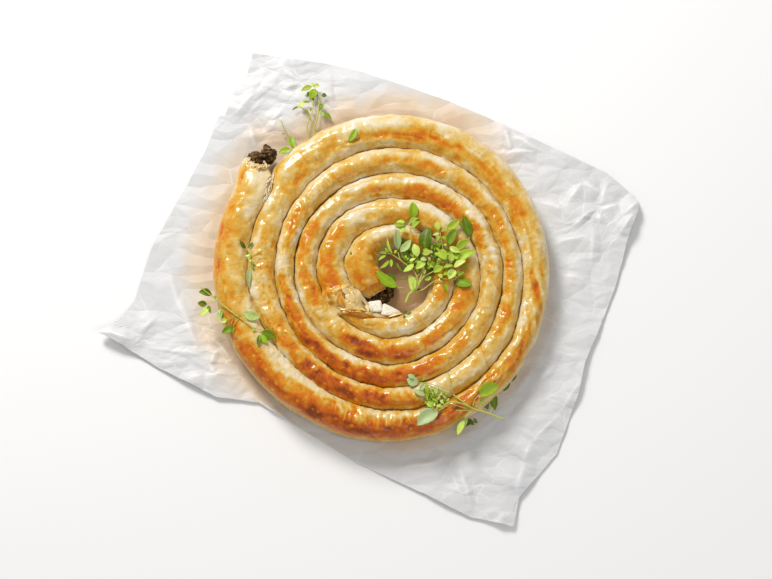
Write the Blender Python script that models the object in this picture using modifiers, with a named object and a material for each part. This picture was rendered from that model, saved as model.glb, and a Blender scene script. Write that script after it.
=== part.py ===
"""Spanakopita: one long rope of rolled filo pastry with a spinach and feta filling, coiled flat
into a round pie, on the sheet of baking paper that it is baked and served on.

The rope starts beside the coil's open centre and winds outwards, clockwise seen from above.
Places along it are counted in turns from its inner bend: 0 and every whole turn lie on -X.
Frame: metres, +Z up, origin under the middle of the paper, on the surface that the paper lies on.
"""

import math

import bmesh
import bpy
import numpy as np

MM = 0.001

# The coiled rope.
ROPE_START = -0.1456  # turns; the inner end, where the rope hooks back into the coil
ROPE_END = 5.1044  # turns; the outer end
STATIONS_PER_TURN = 24
SEAM_GAP = 1.0 * MM  # between neighbouring turns
ROPE_HEIGHT = 27.5 * MM
HEIGHT_GAIN = 0.4 * MM  # for each turn outwards
END_DROOP = 0.16  # share of the height that the closed-in inner end has lost
CROWN_SHAPE = 2.5  # exponent of the section above its widest line: 2 is round, more is squarer
FOOT_SHAPE = 4.0  # and below that line, where the rope has slumped flat
WIDEST_AT = 0.45  # share of the height
PASTRY_SIDES = 14
FILLING_SIDES = 6

# Radius in mm of the rope's outer side at each eighth of a turn. A row is one turn. The next
# turn lies against it, so each row is also the next row's inner side.
COIL_RADII = (
    (42.0, 45.0, 44.0, 47.5, 54.0, 57.0, 60.0, 60.0),
    (67.0, 69.5, 68.0, 72.0, 77.5, 79.0, 83.0, 83.0),
    (87.0, 89.5, 92.0, 94.5, 97.0, 100.0, 103.5, 102.0),
    (103.5, 110.0, 115.5, 114.5, 114.5, 121.0, 124.0, 121.0),
    (128.5, 137.5),
)
HOOK_RADII = ((-0.15, 32.0), (-0.07, 38.0))  # the same side before the first row: turns, mm
# The last turn has no neighbour outside it. It swells as soon as it clears the rope's outer end.
FREE_FROM = 4.125  # turns
FREE_RADII = (146.5, 149.0, 144.5, 138.0, 141.0, 149.5, 151.5, 159.0, 164.5)

# The side that faces the open centre: turns, x and y in mm. It ends where it meets the hook.
CENTRE_SIDE = (
    (-0.150, -1.0, -14.0),
    (-0.070, -3.5, -3.0),
    (0.000, -11.0, 4.5),
    (0.070, -13.5, 11.5),
    (0.125, -12.0, 17.0),
    (0.190, -8.0, 21.5),
    (0.250, 0.0, 24.0),
    (0.375, 19.0, 19.5),
    (0.500, 33.5, 0.0),
    (0.625, 26.0, -26.0),
    (0.750, 0.0, -40.0),
    (0.810, -16.0, -40.0),
    (0.860, -26.5, -32.0),
    (0.900, -27.5, -20.0),
)

# The crust has broken open along the centre side, and its inner edge has sunk.
TEAR_AT = 0.80  # turns
TEAR_REACH = 0.14  # turns to either side
TEAR_SINK = 0.24  # share of the height

# The filling runs through the rope and spills out of both ends.
CRUST = 3.8 * MM
FILLING_FIT = 0.4 * MM  # gap between the filling and the crust
# Each spill: distance past the end in mm, share of the width, share of the height.
INNER_SPILL = ((4.0, 0.95, 0.80), (10.0, 1.00, 0.62), (16.0, 0.85, 0.56), (19.0, 0.40, 0.42))
OUTER_SPILL = ((4.0, 0.92, 0.95), (8.0, 0.80, 0.85), (10.5, 0.40, 0.60))
OUTER_SPILL_SHIFT = 2.5 * MM  # sideways, away from the neighbouring turn

# Two pieces of feta in the tear: middle x, y and bottom z, size, turn and tilt in degrees.
FETA = {
    "feta_1": ((-14.5, -31.5, 14.2), (9.5, 9.0, 9.0), 8.0, 5.0),
    "feta_2": ((-1.5, -33.5, 14.0), (12.0, 7.5, 8.5), -12.0, 6.0),
}
FETA_EDGE = 1.3 * MM

# The baking paper. Outline: degrees from +X round the coil's centre, and radius in mm.
PAPER_THICKNESS = 0.6 * MM
REST_GAP = 0.3 * MM
PAPER_OUTLINE = (
    (125, 233), (121, 250), (115, 231), (107, 214), (101, 203), (88, 185), (73, 176), (63, 175),
    (50, 179), (38, 193), (27, 217), (19, 232), (16, 230), (11, 216), (-2, 199), (-16, 188),
    (-24, 186), (-33, 194), (-48, 213), (-61, 225), (-65, 245), (-73, 223), (-81, 198),
    (-94, 176), (-101, 169), (-136, 163), (-145, 189), (-158, 221), (-167, 254), (-169, 266),
    (-171, 244), (-175, 230), (173, 218), (158, 206), (145, 208), (135, 214),
)
PAPER_STEP = 24.0 * MM  # longest piece of the outline's edges
PAPER_RINGS = (0.0, 0.3, 0.65, 1.0)  # shares of the way from the pie to the paper's edge
PAPER_CLEAR = 4.0 * MM  # flat margin round the pie
PAPER_LIFT = 12.0 * MM  # highest crease
PAPER_RISE_OVER = 60.0 * MM  # distance over which the creases grow
CREASES = ((25.0, 0.125, 0.4), (85.0, 0.092, 2.1), (150.0, 0.074, 3.7))  # degrees, length m, shift


def curve_through(keys, values, at):
    """Values of the smooth curve through (keys, values), read at the places at."""
    keys = np.asarray(keys, float)
    values = np.asarray(values, float).reshape(len(keys), -1)
    slopes = np.gradient(values, keys, axis=0)
    at = np.atleast_1d(np.asarray(at, float))
    k = np.clip(np.searchsorted(keys, at, side="right") - 1, 0, len(keys) - 2)
    span = (keys[k + 1] - keys[k])[:, None]
    t = (at - keys[k])[:, None] / span
    start = (1 + 2 * t) * (1 - t) ** 2 * values[k] + t * (1 - t) ** 2 * span * slopes[k]
    end = t * t * (3 - 2 * t) * values[k + 1] + t * t * (t - 1) * span * slopes[k + 1]
    return (start + end).squeeze()


def smoothstep(x):
    """0 below 0, 1 above 1, and a smooth rise between."""
    x = np.clip(x, 0.0, 1.0)
    return x * x * (3 - 2 * x)


def direction(turns):
    """Unit vectors from the coil's centre towards these places along the rope."""
    angle = math.pi - 2 * math.pi * np.asarray(turns, float)
    return np.stack([np.cos(angle), np.sin(angle)], axis=-1)


def rope_radius(turns):
    """Radius of the rope's outer side, in metres."""
    turns = np.atleast_1d(np.asarray(turns, float))
    coiled = [r for row in COIL_RADII for r in row]
    keys = [t for t, _ in HOOK_RADII] + [k / 8 for k in range(len(coiled))]
    radii = [r for _, r in HOOK_RADII] + coiled
    inside = curve_through(keys, radii, turns)
    free_keys = [FREE_FROM + k / 8 for k in range(len(FREE_RADII))]
    outside = curve_through(free_keys, FREE_RADII, np.maximum(turns, FREE_FROM))
    swells = turns > ROPE_END - 1 + 0.001
    return np.where(swells, outside, inside) * MM


def rope_sections():
    """Places in turns, section middles, vectors from middle to outer side, and heights."""
    count = round((ROPE_END - ROPE_START) * STATIONS_PER_TURN) + 1
    turns = np.linspace(ROPE_START, ROPE_END, count)
    outer = rope_radius(turns)[:, None] * direction(turns)
    table = np.array(CENTRE_SIDE)
    centre_side = curve_through(table[:, 0], table[:, 1:], turns) * MM
    against_rope = rope_radius(turns - 1)[:, None] * direction(turns)
    inner = np.where((turns < table[-1, 0])[:, None], centre_side, against_rope)
    half = (outer - inner) / 2
    half *= 1 - SEAM_GAP / 2 / np.linalg.norm(half, axis=1, keepdims=True)
    heights = ROPE_HEIGHT + HEIGHT_GAIN * turns
    heights *= 1 + 0.03 * np.sin(10.7 * turns) + 0.02 * np.sin(18.2 * turns + 1.0)
    heights *= 1 - END_DROOP * smoothstep(-turns / 0.15)
    return turns, (outer + inner) / 2, half, heights


def section_outline(sides):
    """Unit section of the slumped rope: across from -1 to 1, and rise from 0 to 1."""
    angle = (np.arange(sides) + 0.5) / sides * 2 * math.pi - math.pi / 2
    c, s = np.cos(angle), np.sin(angle)
    shape = np.where(s > 0, CROWN_SHAPE, FOOT_SHAPE)
    across = np.sign(c) * np.abs(c) ** (2 / shape)
    crown = WIDEST_AT + (1 - WIDEST_AT) * np.abs(s) ** (2 / shape)
    foot = WIDEST_AT * (1 - 1.06 * np.abs(s) ** (2 / shape))
    return across, np.where(s > 0, crown, np.maximum(foot, 0.0))


def rope_rings(turns, middles, halves, heights, sides, inset):
    """Rings of points round the rope, this far inside its surface, one ring for each section."""
    across, rise = section_outline(sides)
    width = 1 - inset / np.linalg.norm(halves, axis=1)
    low = inset / heights
    across = across[None, :] * width[:, None]
    rise = low[:, None] + rise[None, :] * (1 - 2 * low)[:, None]
    torn = smoothstep(1 - np.abs(turns - TEAR_AT) / TEAR_REACH)[:, None]
    sink = TEAR_SINK * torn * smoothstep(0.6 - across)
    flat = middles[:, None, :] + across[..., None] * halves[:, None, :]
    z = PAPER_THICKNESS + REST_GAP + heights[:, None] * rise * (1 - sink)
    return np.concatenate([flat, z[..., None]], axis=-1)


def loft(bm, rings):
    """Skin of quads over a row of rings; returns the first and the last ring's vertices."""
    rows = [[bm.verts.new(point) for point in ring] for ring in rings]
    for here, ahead in zip(rows, rows[1:]):
        for k, corner in enumerate(here):
            after = (k + 1) % len(here)
            bm.faces.new((corner, ahead[k], ahead[after], here[after]))
    return rows[0], rows[-1]


def close_rim(bm, outer, inner):
    """Triangles across the wall between two rings that start at the same corner."""
    i = j = 0
    while i < len(outer) or j < len(inner):
        here, there = outer[i % len(outer)], inner[j % len(inner)]
        if (i + 1) * len(inner) <= (j + 1) * len(outer):
            i += 1
            bm.faces.new((here, outer[i % len(outer)], there))
        else:
            j += 1
            bm.faces.new((here, inner[j % len(inner)], there))


def finish_object(name, bm, material, collection):
    """Turn a bmesh into a smooth-shaded object of the collection."""
    bmesh.ops.recalc_face_normals(bm, faces=bm.faces)
    mesh = bpy.data.meshes.new(name)
    bm.to_mesh(mesh)
    bm.free()
    mesh.materials.append(material)
    mesh.shade_smooth()
    mesh.set_sharp_from_angle(angle=math.radians(40))
    obj = bpy.data.objects.new(name, mesh)
    collection.objects.link(obj)
    return obj


def surface(name, colour, roughness):
    """A Principled material of one colour."""
    material = bpy.data.materials.new(name)
    material.use_nodes = True
    shader = material.node_tree.nodes["Principled BSDF"]
    shader.inputs["Base Color"].default_value = (*colour, 1.0)
    shader.inputs["Roughness"].default_value = roughness
    shader.inputs["Metallic"].default_value = 0.0
    return material


def make_pastry(collection):
    """The filo rope: a coiled tube of crust, open at both ends."""
    sections = rope_sections()
    bm = bmesh.new()
    outside = loft(bm, rope_rings(*sections, PASTRY_SIDES, 0.0))
    inside = loft(bm, rope_rings(*sections, FILLING_SIDES, CRUST))
    for outer_row, inner_row in zip(outside, inside):
        close_rim(bm, outer_row, inner_row)
    bmesh.ops.triangulate(bm, faces=bm.faces)
    crust = surface("baked filo", (0.66, 0.39, 0.15), 0.45)
    return finish_object("filo_pastry", bm, crust, collection)


def spill_sections(turns, middles, halves, heights, spill):
    """Sections past the rope's first one, for the filling that has come out of the end."""
    onward = middles[0] - middles[1]
    onward /= np.linalg.norm(onward)
    along, width, height = np.array(spill).T
    new_middles = middles[0] + along[:, None] * MM * onward
    new_halves = halves[0] * width[:, None]
    parts = (
        (np.full(len(spill), turns[0]), turns),
        (new_middles, middles),
        (new_halves, halves),
        (heights[0] * height, heights),
    )
    return tuple(np.concatenate([new[::-1], old]) for new, old in parts)


def make_filling(collection):
    """The spinach and feta filling, one long core with a spill at each end."""
    sections = spill_sections(*rope_sections(), INNER_SPILL)
    backwards = tuple(part[::-1] for part in sections)
    backwards = spill_sections(*backwards, OUTER_SPILL)
    turns, middles, halves, heights = backwards
    outward = halves[0] / np.linalg.norm(halves[0])
    shift = np.linspace(1.0, 0.0, len(OUTER_SPILL) + 1)[:-1, None]
    middles[: len(OUTER_SPILL)] += OUTER_SPILL_SHIFT * shift * outward
    bm = bmesh.new()
    rings = rope_rings(turns, middles, halves, heights, FILLING_SIDES, CRUST + FILLING_FIT)
    for row in loft(bm, rings):
        bm.faces.new(row)
    bmesh.ops.triangulate(bm, faces=bm.faces)
    spinach = surface("cooked spinach filling", (0.06, 0.07, 0.03), 0.6)
    return finish_object("spinach_filling", bm, spinach, collection)


def make_feta(collection):
    """The crumbled-off blocks of feta that show in the tear."""
    curd = surface("feta", (0.86, 0.83, 0.74), 0.5)
    blocks = []
    for name, (place, size, turn, tilt) in FETA.items():
        bm = bmesh.new()
        bmesh.ops.create_cube(bm, size=1.0)
        bmesh.ops.scale(bm, vec=[side * MM for side in size], verts=bm.verts)
        bmesh.ops.bevel(bm, geom=bm.edges, offset=FETA_EDGE, segments=1, affect="EDGES")
        block = finish_object(name, bm, curd, collection)
        block.rotation_euler = (math.radians(tilt), 0.0, math.radians(turn))
        x, y, bottom = place
        block.location = (x * MM, y * MM, (bottom + size[2] / 2) * MM)
        blocks.append(block)
    return blocks


def paper_edge():
    """Points along the paper's outline, with its long straight stretches divided."""
    polar = np.array(PAPER_OUTLINE, float)
    angle = np.radians(polar[:, 0])
    corners = polar[:, 1:] * MM * np.stack([np.cos(angle), np.sin(angle)], axis=1)
    points = []
    for here, ahead in zip(corners, np.roll(corners, -1, axis=0)):
        pieces = math.ceil(np.linalg.norm(ahead - here) / PAPER_STEP)
        points += [here + (ahead - here) * k / pieces for k in range(pieces)]
    return np.array(points)


def pie_radius(points):
    """Radius of the pie's edge in the direction of these points."""
    angle = np.arctan2(points[:, 1], points[:, 0])
    turns = (math.pi - angle) / (2 * math.pi)
    return rope_radius(ROPE_END - np.mod(ROPE_END - turns, 1.0))


def paper_height(points):
    """Height of the creased paper: flat round the pie, rising into soft creases outwards."""
    past_pie = np.linalg.norm(points, axis=1) - pie_radius(points) - PAPER_CLEAR
    creases = np.zeros(len(points))
    for degrees, length, shift in CREASES:
        angle = math.radians(degrees)
        way = points @ np.array([math.cos(angle), math.sin(angle)])
        creases += np.abs(np.mod(way / length + shift, 1.0) - 0.5) * 2
    return PAPER_LIFT * smoothstep(past_pie / PAPER_RISE_OVER) * creases / len(CREASES)


def make_paper(collection):
    """The creased sheet of baking paper, as thin as a sheet is."""
    edge = paper_edge()
    reach = np.linalg.norm(edge, axis=1)
    start = np.minimum(pie_radius(edge) + PAPER_CLEAR, 0.96 * reach)
    rings = []
    for share in PAPER_RINGS:
        ring = edge * ((start + (reach - start) * share) / reach)[:, None]
        rings.append(np.column_stack([ring, paper_height(ring)]))
    bm = bmesh.new()
    first, _ = loft(bm, rings)
    middle = bm.verts.new((0.0, 0.0, 0.0))
    for k, corner in enumerate(first):
        bm.faces.new((middle, first[k - 1], corner))
    bmesh.ops.triangulate(bm, faces=bm.faces)
    bmesh.ops.recalc_face_normals(bm, faces=bm.faces)
    if sum(face.normal.z for face in bm.faces) < 0:
        bmesh.ops.reverse_faces(bm, faces=bm.faces)
    mesh = bpy.data.meshes.new("baking_paper")
    bm.to_mesh(mesh)
    bm.free()
    mesh.materials.append(surface("white baking paper", (0.85, 0.85, 0.86), 0.55))
    sheet = bpy.data.objects.new("baking_paper", mesh)
    collection.objects.link(sheet)
    wall = sheet.modifiers.new("thickness", "SOLIDIFY")
    wall.thickness = PAPER_THICKNESS
    wall.offset = 1.0
    return sheet


def main():
    for old in list(bpy.data.objects):
        bpy.data.objects.remove(old, do_unlink=True)
    collection = bpy.data.collections.new("spanakopita_pie")
    bpy.context.scene.collection.children.link(collection)

    edge = paper_edge()
    coil_centre = bpy.data.objects.new("coil_centre", None)
    coil_centre.location = (*(-(edge.min(axis=0) + edge.max(axis=0)) / 2), 0.0)
    collection.objects.link(coil_centre)

    pieces = [make_pastry(collection), make_filling(collection), make_paper(collection)]
    pieces += make_feta(collection)
    for piece in pieces:
        piece.parent = coil_centre


main()
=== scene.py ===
"""Spanakopita pie: a filo rope with a spinach and feta filling, coiled on baking paper.

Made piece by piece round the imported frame: the studio, the paper, the rope, its filling, the feta,
the herbs and the loose leaves of filo. Sizes are in millimetres unless a name says otherwise.
"""
import math

import bpy
import numpy as np
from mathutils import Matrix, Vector, geometry


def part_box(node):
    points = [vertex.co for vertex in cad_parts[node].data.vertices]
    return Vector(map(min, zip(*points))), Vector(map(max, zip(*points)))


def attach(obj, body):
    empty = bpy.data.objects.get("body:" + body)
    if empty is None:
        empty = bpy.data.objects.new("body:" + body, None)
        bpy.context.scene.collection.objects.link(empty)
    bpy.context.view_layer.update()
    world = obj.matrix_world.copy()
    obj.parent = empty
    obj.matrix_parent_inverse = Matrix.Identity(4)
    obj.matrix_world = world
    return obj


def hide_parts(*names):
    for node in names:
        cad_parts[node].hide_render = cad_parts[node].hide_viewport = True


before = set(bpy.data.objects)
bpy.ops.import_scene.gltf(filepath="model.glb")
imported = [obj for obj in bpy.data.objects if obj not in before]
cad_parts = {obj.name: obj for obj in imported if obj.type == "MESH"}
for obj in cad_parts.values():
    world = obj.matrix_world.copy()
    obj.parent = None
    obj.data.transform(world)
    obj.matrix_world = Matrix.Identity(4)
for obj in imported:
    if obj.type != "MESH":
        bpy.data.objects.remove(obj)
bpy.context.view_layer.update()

# ------------------------------------------------------------------------------
# The studio: a matt white table top, a large soft window-like light behind and to the left, a
# weaker fill, and a camera that looks steeply down.
# The coil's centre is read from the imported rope, whose box reaches 158.1 mm left and 148.3 mm
# forward of it.
# ------------------------------------------------------------------------------
ROPE_REACH_LEFT = 158.1
ROPE_REACH_FRONT = 148.3
pastry_low, _ = (Vector(corner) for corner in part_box("filo_pastry"))
CENTRE = np.array([pastry_low.x * 1000 + ROPE_REACH_LEFT, pastry_low.y * 1000 + ROPE_REACH_FRONT])
PIE_FOOT = 0.3  # the pie lies on the paper


def linear(hex_colour):
    """An sRGB hex colour as linear RGBA: each channel c becomes ((c + 0.055) / 1.055) ** 2.4."""
    channels = [int(hex_colour[k : k + 2], 16) / 255 for k in (1, 3, 5)]
    light = [c / 12.92 if c <= 0.04045 else ((c + 0.055) / 1.055) ** 2.4 for c in channels]
    return (*light, 1.0)


def set_inputs(node, inputs):
    """Give each input a value, or a link from an output. A node stands for its first output."""
    for key, value in inputs.items():
        source = value.outputs[0] if isinstance(value, bpy.types.Node) else value
        if isinstance(source, bpy.types.NodeSocket):
            node.id_data.links.new(source, node.inputs[key])
        else:
            node.inputs[key].default_value = source


def add_node(tree, kind, inputs=None, stops=(), **settings):
    """Add a node with its properties, its inputs and its colour stops: position and sRGB hex."""
    node = tree.nodes.new("ShaderNode" + kind)
    for key, value in settings.items():
        setattr(node, key, value)
    set_inputs(node, inputs or {})
    if stops:
        elements = node.color_ramp.elements
        while len(elements) < len(stops):
            elements.new(0.5)
        for element, (position, colour) in zip(elements, stops):
            element.position = position
            element.color = linear(colour)
    return node


def new_material(name, values):
    """A material with one Principled shader; returns the material, its tree and the shader."""
    material = bpy.data.materials.new(name)
    material.use_nodes = True
    tree = material.node_tree
    shader = tree.nodes["Principled BSDF"]
    set_inputs(shader, values)
    return material, tree, shader


def mesh_object(name, points_mm, faces, material, smooth=True):
    """An object at the origin from an array of points in mm and lists of corner numbers."""
    mesh = bpy.data.meshes.new(name)
    mesh.from_pydata((np.asarray(points_mm) / 1000).tolist(), [], [list(f) for f in faces])
    mesh.materials.append(material)
    if smooth:
        mesh.shade_smooth()
    piece = bpy.data.objects.new(name, mesh)
    bpy.context.scene.collection.objects.link(piece)
    return piece


# A painted board: nearly white and matt, so it takes soft shadows and no reflections.
TABLE_HALF = 3000.0
table_white, _, _ = new_material(
    "matt white table top", {"Base Color": linear("#F4F4F4"), "Roughness": 0.9}
)
corners = [(-TABLE_HALF, -TABLE_HALF, 0), (TABLE_HALF, -TABLE_HALF, 0)]
corners += [(TABLE_HALF, TABLE_HALF, 0), (-TABLE_HALF, TABLE_HALF, 0)]
table = mesh_object("table_top", corners, [(0, 1, 2, 3)], table_white)

world = bpy.data.worlds.new("soft room light")
world.use_nodes = True
set_inputs(world.node_tree.nodes["Background"], {"Color": (1.0, 0.99, 0.98, 1.0), "Strength": 0.42})
bpy.context.scene.world = world


def soft_light(name, place, aim, size, power, colour):
    """A square area light at place, turned to shine at aim, all in metres and watts."""
    lamp = bpy.data.lights.new(name, "AREA")
    lamp.shape = "SQUARE"
    lamp.size = size
    lamp.energy = power
    lamp.color = colour
    holder = bpy.data.objects.new(name, lamp)
    holder.location = place
    holder.rotation_euler = (Vector(aim) - Vector(place)).to_track_quat("-Z", "Y").to_euler()
    bpy.context.scene.collection.objects.link(holder)


soft_light("window", (-0.75, 1.35, 1.25), (0, 0, 0), 0.6, 35.5, (1.0, 0.985, 0.96))
soft_light("fill", (0.9, -0.9, 1.6), (0, 0, 0), 1.2, 7.0, (1.0, 1.0, 1.0))

CAMERA_TILT = math.radians(75.0)  # above the table
CAMERA_DISTANCE = 1.6227
# 6 mm to the left of the coil's centre and 10 mm in front of it.
AIM = ((CENTRE[0] - 6.0) / 1000, (CENTRE[1] - 10.0) / 1000, 0.0)
camera = bpy.data.objects.new("camera", bpy.data.cameras.new("camera"))
camera.data.lens = 85.0
camera.data.sensor_width = 36.0
camera.location = (
    AIM[0],
    AIM[1] - CAMERA_DISTANCE * math.cos(CAMERA_TILT),
    CAMERA_DISTANCE * math.sin(CAMERA_TILT),
)
camera.rotation_euler = (math.pi / 2 - CAMERA_TILT, 0.0, 0.0)
bpy.context.scene.collection.objects.link(camera)
bpy.context.scene.camera = camera
bpy.context.scene.view_settings.view_transform = "Standard"

# ------------------------------------------------------------------------------
# The baking paper: one sheet of thin white greaseproof paper off a 38 cm roll, crumpled, smoothed
# out again and twisted to a tip at the left. It lies loose on the table. The pie was baked on it,
# so butter has soaked into it round the crust and turned it beige. Beside the pie's right and lower
# right side the beige is painted shadow.
# Places are in mm from the coil's centre, and degrees are counted from +X.
# ------------------------------------------------------------------------------
PAPER_THICKNESS = 0.15
PAPER_OUTLINE = (
    (125, 233), (121, 250), (115, 231), (107, 214), (101, 203), (88, 185), (73, 176), (63, 175),
    (50, 179), (38, 193), (27, 217), (19, 232), (16, 230), (11, 216), (-2, 199), (-16, 188),
    (-24, 186), (-33, 194), (-48, 213), (-61, 225), (-65, 245), (-73, 223), (-81, 198), (-94, 176),
    (-101, 169), (-136, 163), (-145, 189), (-158, 221), (-167, 254), (-169, 266), (-171, 244),
    (-175, 230), (173, 218), (158, 206), (145, 208), (136, 220), (135, 216), (129, 229),
)
PAPER_SPOKES = 800
PAPER_ROWS = 54
HIDDEN_ROWS = (12.0, 30.0, 50.0, 90.0)  # radii of the flat rows in the centre and under the pie
# The radius of the pie's edge, every eighth of a turn from FREE_FROM turns along the rope, where 0
# and every whole turn lie on -X and the turns run clockwise.
FREE_FROM = 4.125
FREE_RADII = (146.5, 149.0, 144.5, 138.0, 141.0, 149.5, 151.5, 159.0, 164.5)


def smoothstep(x):
    """0 below 0, 1 above 1, and 3x² - 2x³ between."""
    x = np.clip(x, 0.0, 1.0)
    return x * x * (3 - 2 * x)


def curve_through(keys, values, at):
    """Cubic curve through (keys, values), whose slope at a key is the mean of both sides."""
    keys = np.asarray(keys, float)
    values = np.asarray(values, float).reshape(len(keys), -1)
    slopes = np.gradient(values, keys, axis=0)
    k = np.clip(np.searchsorted(keys, at, side="right") - 1, 0, len(keys) - 2)
    span = (keys[k + 1] - keys[k])[:, None]
    t = (at - keys[k])[:, None] / span
    start = (1 + 2 * t) * (1 - t) ** 2 * values[k] + t * (1 - t) ** 2 * span * slopes[k]
    end = t * t * (3 - 2 * t) * values[k + 1] + t * t * (t - 1) * span * slopes[k + 1]
    return (start + end).squeeze()


def value_noise(x, y, seed):
    """Smooth noise from 0 to 1: random values at whole x and y, eased between them. With a number
    for y it is noise along a line."""
    table_of = np.random.default_rng(seed).random((256, 256))
    column, row = np.floor(x).astype(int), np.floor(y).astype(int)
    fx, fy = smoothstep(x - column), smoothstep(y - row)
    column, row = column % 256, row % 256
    after, above = (column + 1) % 256, (row + 1) % 256
    low = table_of[column, row] * (1 - fx) + table_of[after, row] * fx
    high = table_of[column, above] * (1 - fx) + table_of[after, above] * fx
    return low * (1 - fy) + high * fy


def pie_edge(angle):
    """Radius of the coil's edge: the curve through FREE_RADII, eased in past the rope's end."""
    turns = (math.pi - angle) / (2 * math.pi)
    past_end = np.mod(turns - FREE_FROM, 1.0)
    radius = curve_through([k / 8 for k in range(len(FREE_RADII))], FREE_RADII, past_end)
    return FREE_RADII[-1] + (radius - FREE_RADII[-1]) * smoothstep(past_end / 0.04)


def outline_radius(polar, angle):
    """Radius at which a ray from the centre meets the straight edge between two outline corners."""
    corner_angle = np.radians([a for a, _ in polar]) % (2 * math.pi)
    order = np.argsort(corner_angle)
    corner_angle, radius = corner_angle[order], np.array([r for _, r in polar], float)[order]
    after = np.searchsorted(corner_angle, angle) % len(order)
    before = after - 1
    spread = (corner_angle[after] - corner_angle[before]) % (2 * math.pi)
    turned = (angle - corner_angle[before]) % (2 * math.pi)
    sides = radius[before] * np.sin(turned) + radius[after] * np.sin(spread - turned)
    return radius[before] * radius[after] * np.sin(spread) / sides


def facets(flat, spacing, seed):
    """Crumpled heights from 0 to 1: random heights at jittered points a spacing apart, joined by
    flat triangles, each of which fills in the points of the grid that lie in it."""
    draw = np.random.default_rng(seed)
    cells = np.arange(-290, 291, spacing)
    knots = np.stack(np.meshgrid(cells, cells), axis=-1).reshape(-1, 2)
    knots = knots + draw.uniform(-0.48, 0.48, knots.shape) * spacing
    lift = draw.random(len(knots))
    triangles = geometry.delaunay_2d_cdt([Vector(k) for k in knots], [], [], 0, 1e-6)[2]
    heights = np.full(len(flat), 0.5)
    order = np.argsort(flat[:, 0])
    sorted_x = flat[order, 0]
    for triangle in triangles:
        a, b, c = (knots[k] for k in triangle)
        first, last = np.searchsorted(sorted_x, (min(a[0], b[0], c[0]), max(a[0], b[0], c[0])))
        near = order[first:last]
        p = flat[near] - a
        u, v = b - a, c - a
        area = u[0] * v[1] - u[1] * v[0]
        to_b = (p[:, 0] * v[1] - p[:, 1] * v[0]) / area
        to_c = (u[0] * p[:, 1] - u[1] * p[:, 0]) / area
        inside = (to_b >= 0) & (to_c >= 0) & (to_b + to_c <= 1)
        low, rise_b, rise_c = lift[triangle[0]], lift[triangle[1]], lift[triangle[2]]
        heights[near[inside]] = (low + (rise_b - low) * to_b + (rise_c - low) * to_c)[inside]
    return heights


def fold(flat, start, end, left, right):
    """Ridge between two points: 1 along its middle, straight down to 0 at its two widths, which
    are to the left and the right as one walks from start to end, and lower at its two ends."""
    run = np.subtract(end, start)
    share = np.clip((flat - start) @ run / (run @ run), 0, 1)
    away = flat - start - share[:, None] * run
    side = away @ np.array([-run[1], run[0]])
    distance = np.linalg.norm(away, axis=1) / np.where(side > 0, left, right)
    return np.clip(1 - distance, 0, 1) * (1 - 0.75 * np.abs(2 * share - 1) ** 1.5)


# Folds that stand up from the sheet: from x, y, to x, y, height, width to the left and the right.
FOLDS = (
    (-198, 3, -174, -63, 2, 5, 14), (-215, -66, -170, -71, 2.2, 7, 14),
    (-210, -34, -225, -51, 1.5, 5, 9), (-157, -55, -143, -73, 2.6, 5, 9),
    (-150, -63, -162, -77, 2.4, 5, 9), (-162, -77, -155, -92, 2.4, 5, 9),
    (-178, -93, -166, -88, 2.4, 6, 12), (-166, -88, -145, -87, 2.6, 5, 11),
    (-120, -108, -83, -134, 1.8, 4, 8), (-111, 191, -149, 149, 2.6, 8, 16),
    (-99, 198, -84, 186, 2.2, 6, 12), (-84, 186, -101, 179, 2.2, 5, 10),
    (-101, 179, -83, 166, 2, 5, 10), (-102, 157, -109, 148, 2.2, 4, 8),
    (-109, 148, -105, 140, 2.2, 4, 8), (-126, 143, -125, 124, 1.5, 4, 9),
    (-75, 178, -52, 172, 1.8, 5, 10), (103, 138, 105, 121, 2.4, 6, 12),
    (90, 118, 130, 119, 2.4, 5, 12), (106, 140, 135, 117, 1.6, 6, 14),
    (133, 72, 157, 64, 2.4, 6, 14), (157, 64, 172, 85, 2.6, 6, 16), (172, 87, 191, 80, 2.6, 5, 12),
    (185, 65, 162, 48, 3.4, 6, 12), (185, 65, 185, 49, 3, 6, 10), (185, 65, 201, 68, 3.6, 6, 12),
    (185, 65, 196, 90, 3, 6, 14), (179, 45, 177, 10, 2.6, 9, 20), (143, 34, 177, 38, 2, 6, 14),
    (150, 4, 172, -4, 1.6, 5, 12), (143, -78, 130, -92, 2.2, 6, 12),
    (107, -196, 112, -164, 4.2, 34, 12), (112, -164, 122, -149, 4.4, 34, 13),
    (122, -149, 147, -123, 4.4, 34, 15), (147, -123, 168, -93, 4, 30, 16),
    (59, -172, 64, -205, 2, 6, 14), (85, -220, 103, -212, 2.6, 6, 12),
    (6, -171, 53, -161, 1.6, 6, 14), (-266, -51, -226, -57, 6, 8, 14),
    (205, 58, 225, 70, 7, 12, 20), (203, 40, 218, 60, 6, 10, 18),
)
# Where the sheet is crumpled hardest: x, y, reach and strength.
CRUMPLED = (
    (-100, 175, 55, 1), (-165, -80, 50, 1), (190, 62, 50, 0.9), (130, 115, 45, 0.6),
    (135, -110, 60, 0.6), (75, -195, 55, 0.7), (-110, -120, 30, 0.9), (160, -20, 50, 0.6),
    (-240, -55, 30, 0.8), (-205, 60, 40, 0.35), (-60, 165, 30, 0.6),
)
# Where butter has soaked in: degrees, half width in degrees, reach in mm and strength. The rows
# at 15, -35 and -75 degrees, along the pie's right and lower right side, are painted shadow.
GREASE_AND_SHADOW = (
    (178, 46, 32, 0.55), (150, 20, 26, 0.45), (110, 28, 36, 0.7), (80, 25, 36, 0.7),
    (58, 14, 22, 0.45), (-150, 18, 24, 0.55), (-75, 18, 13, 0.35), (-35, 22, 13, 0.28),
    (15, 40, 6, 0.25),
)

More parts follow.
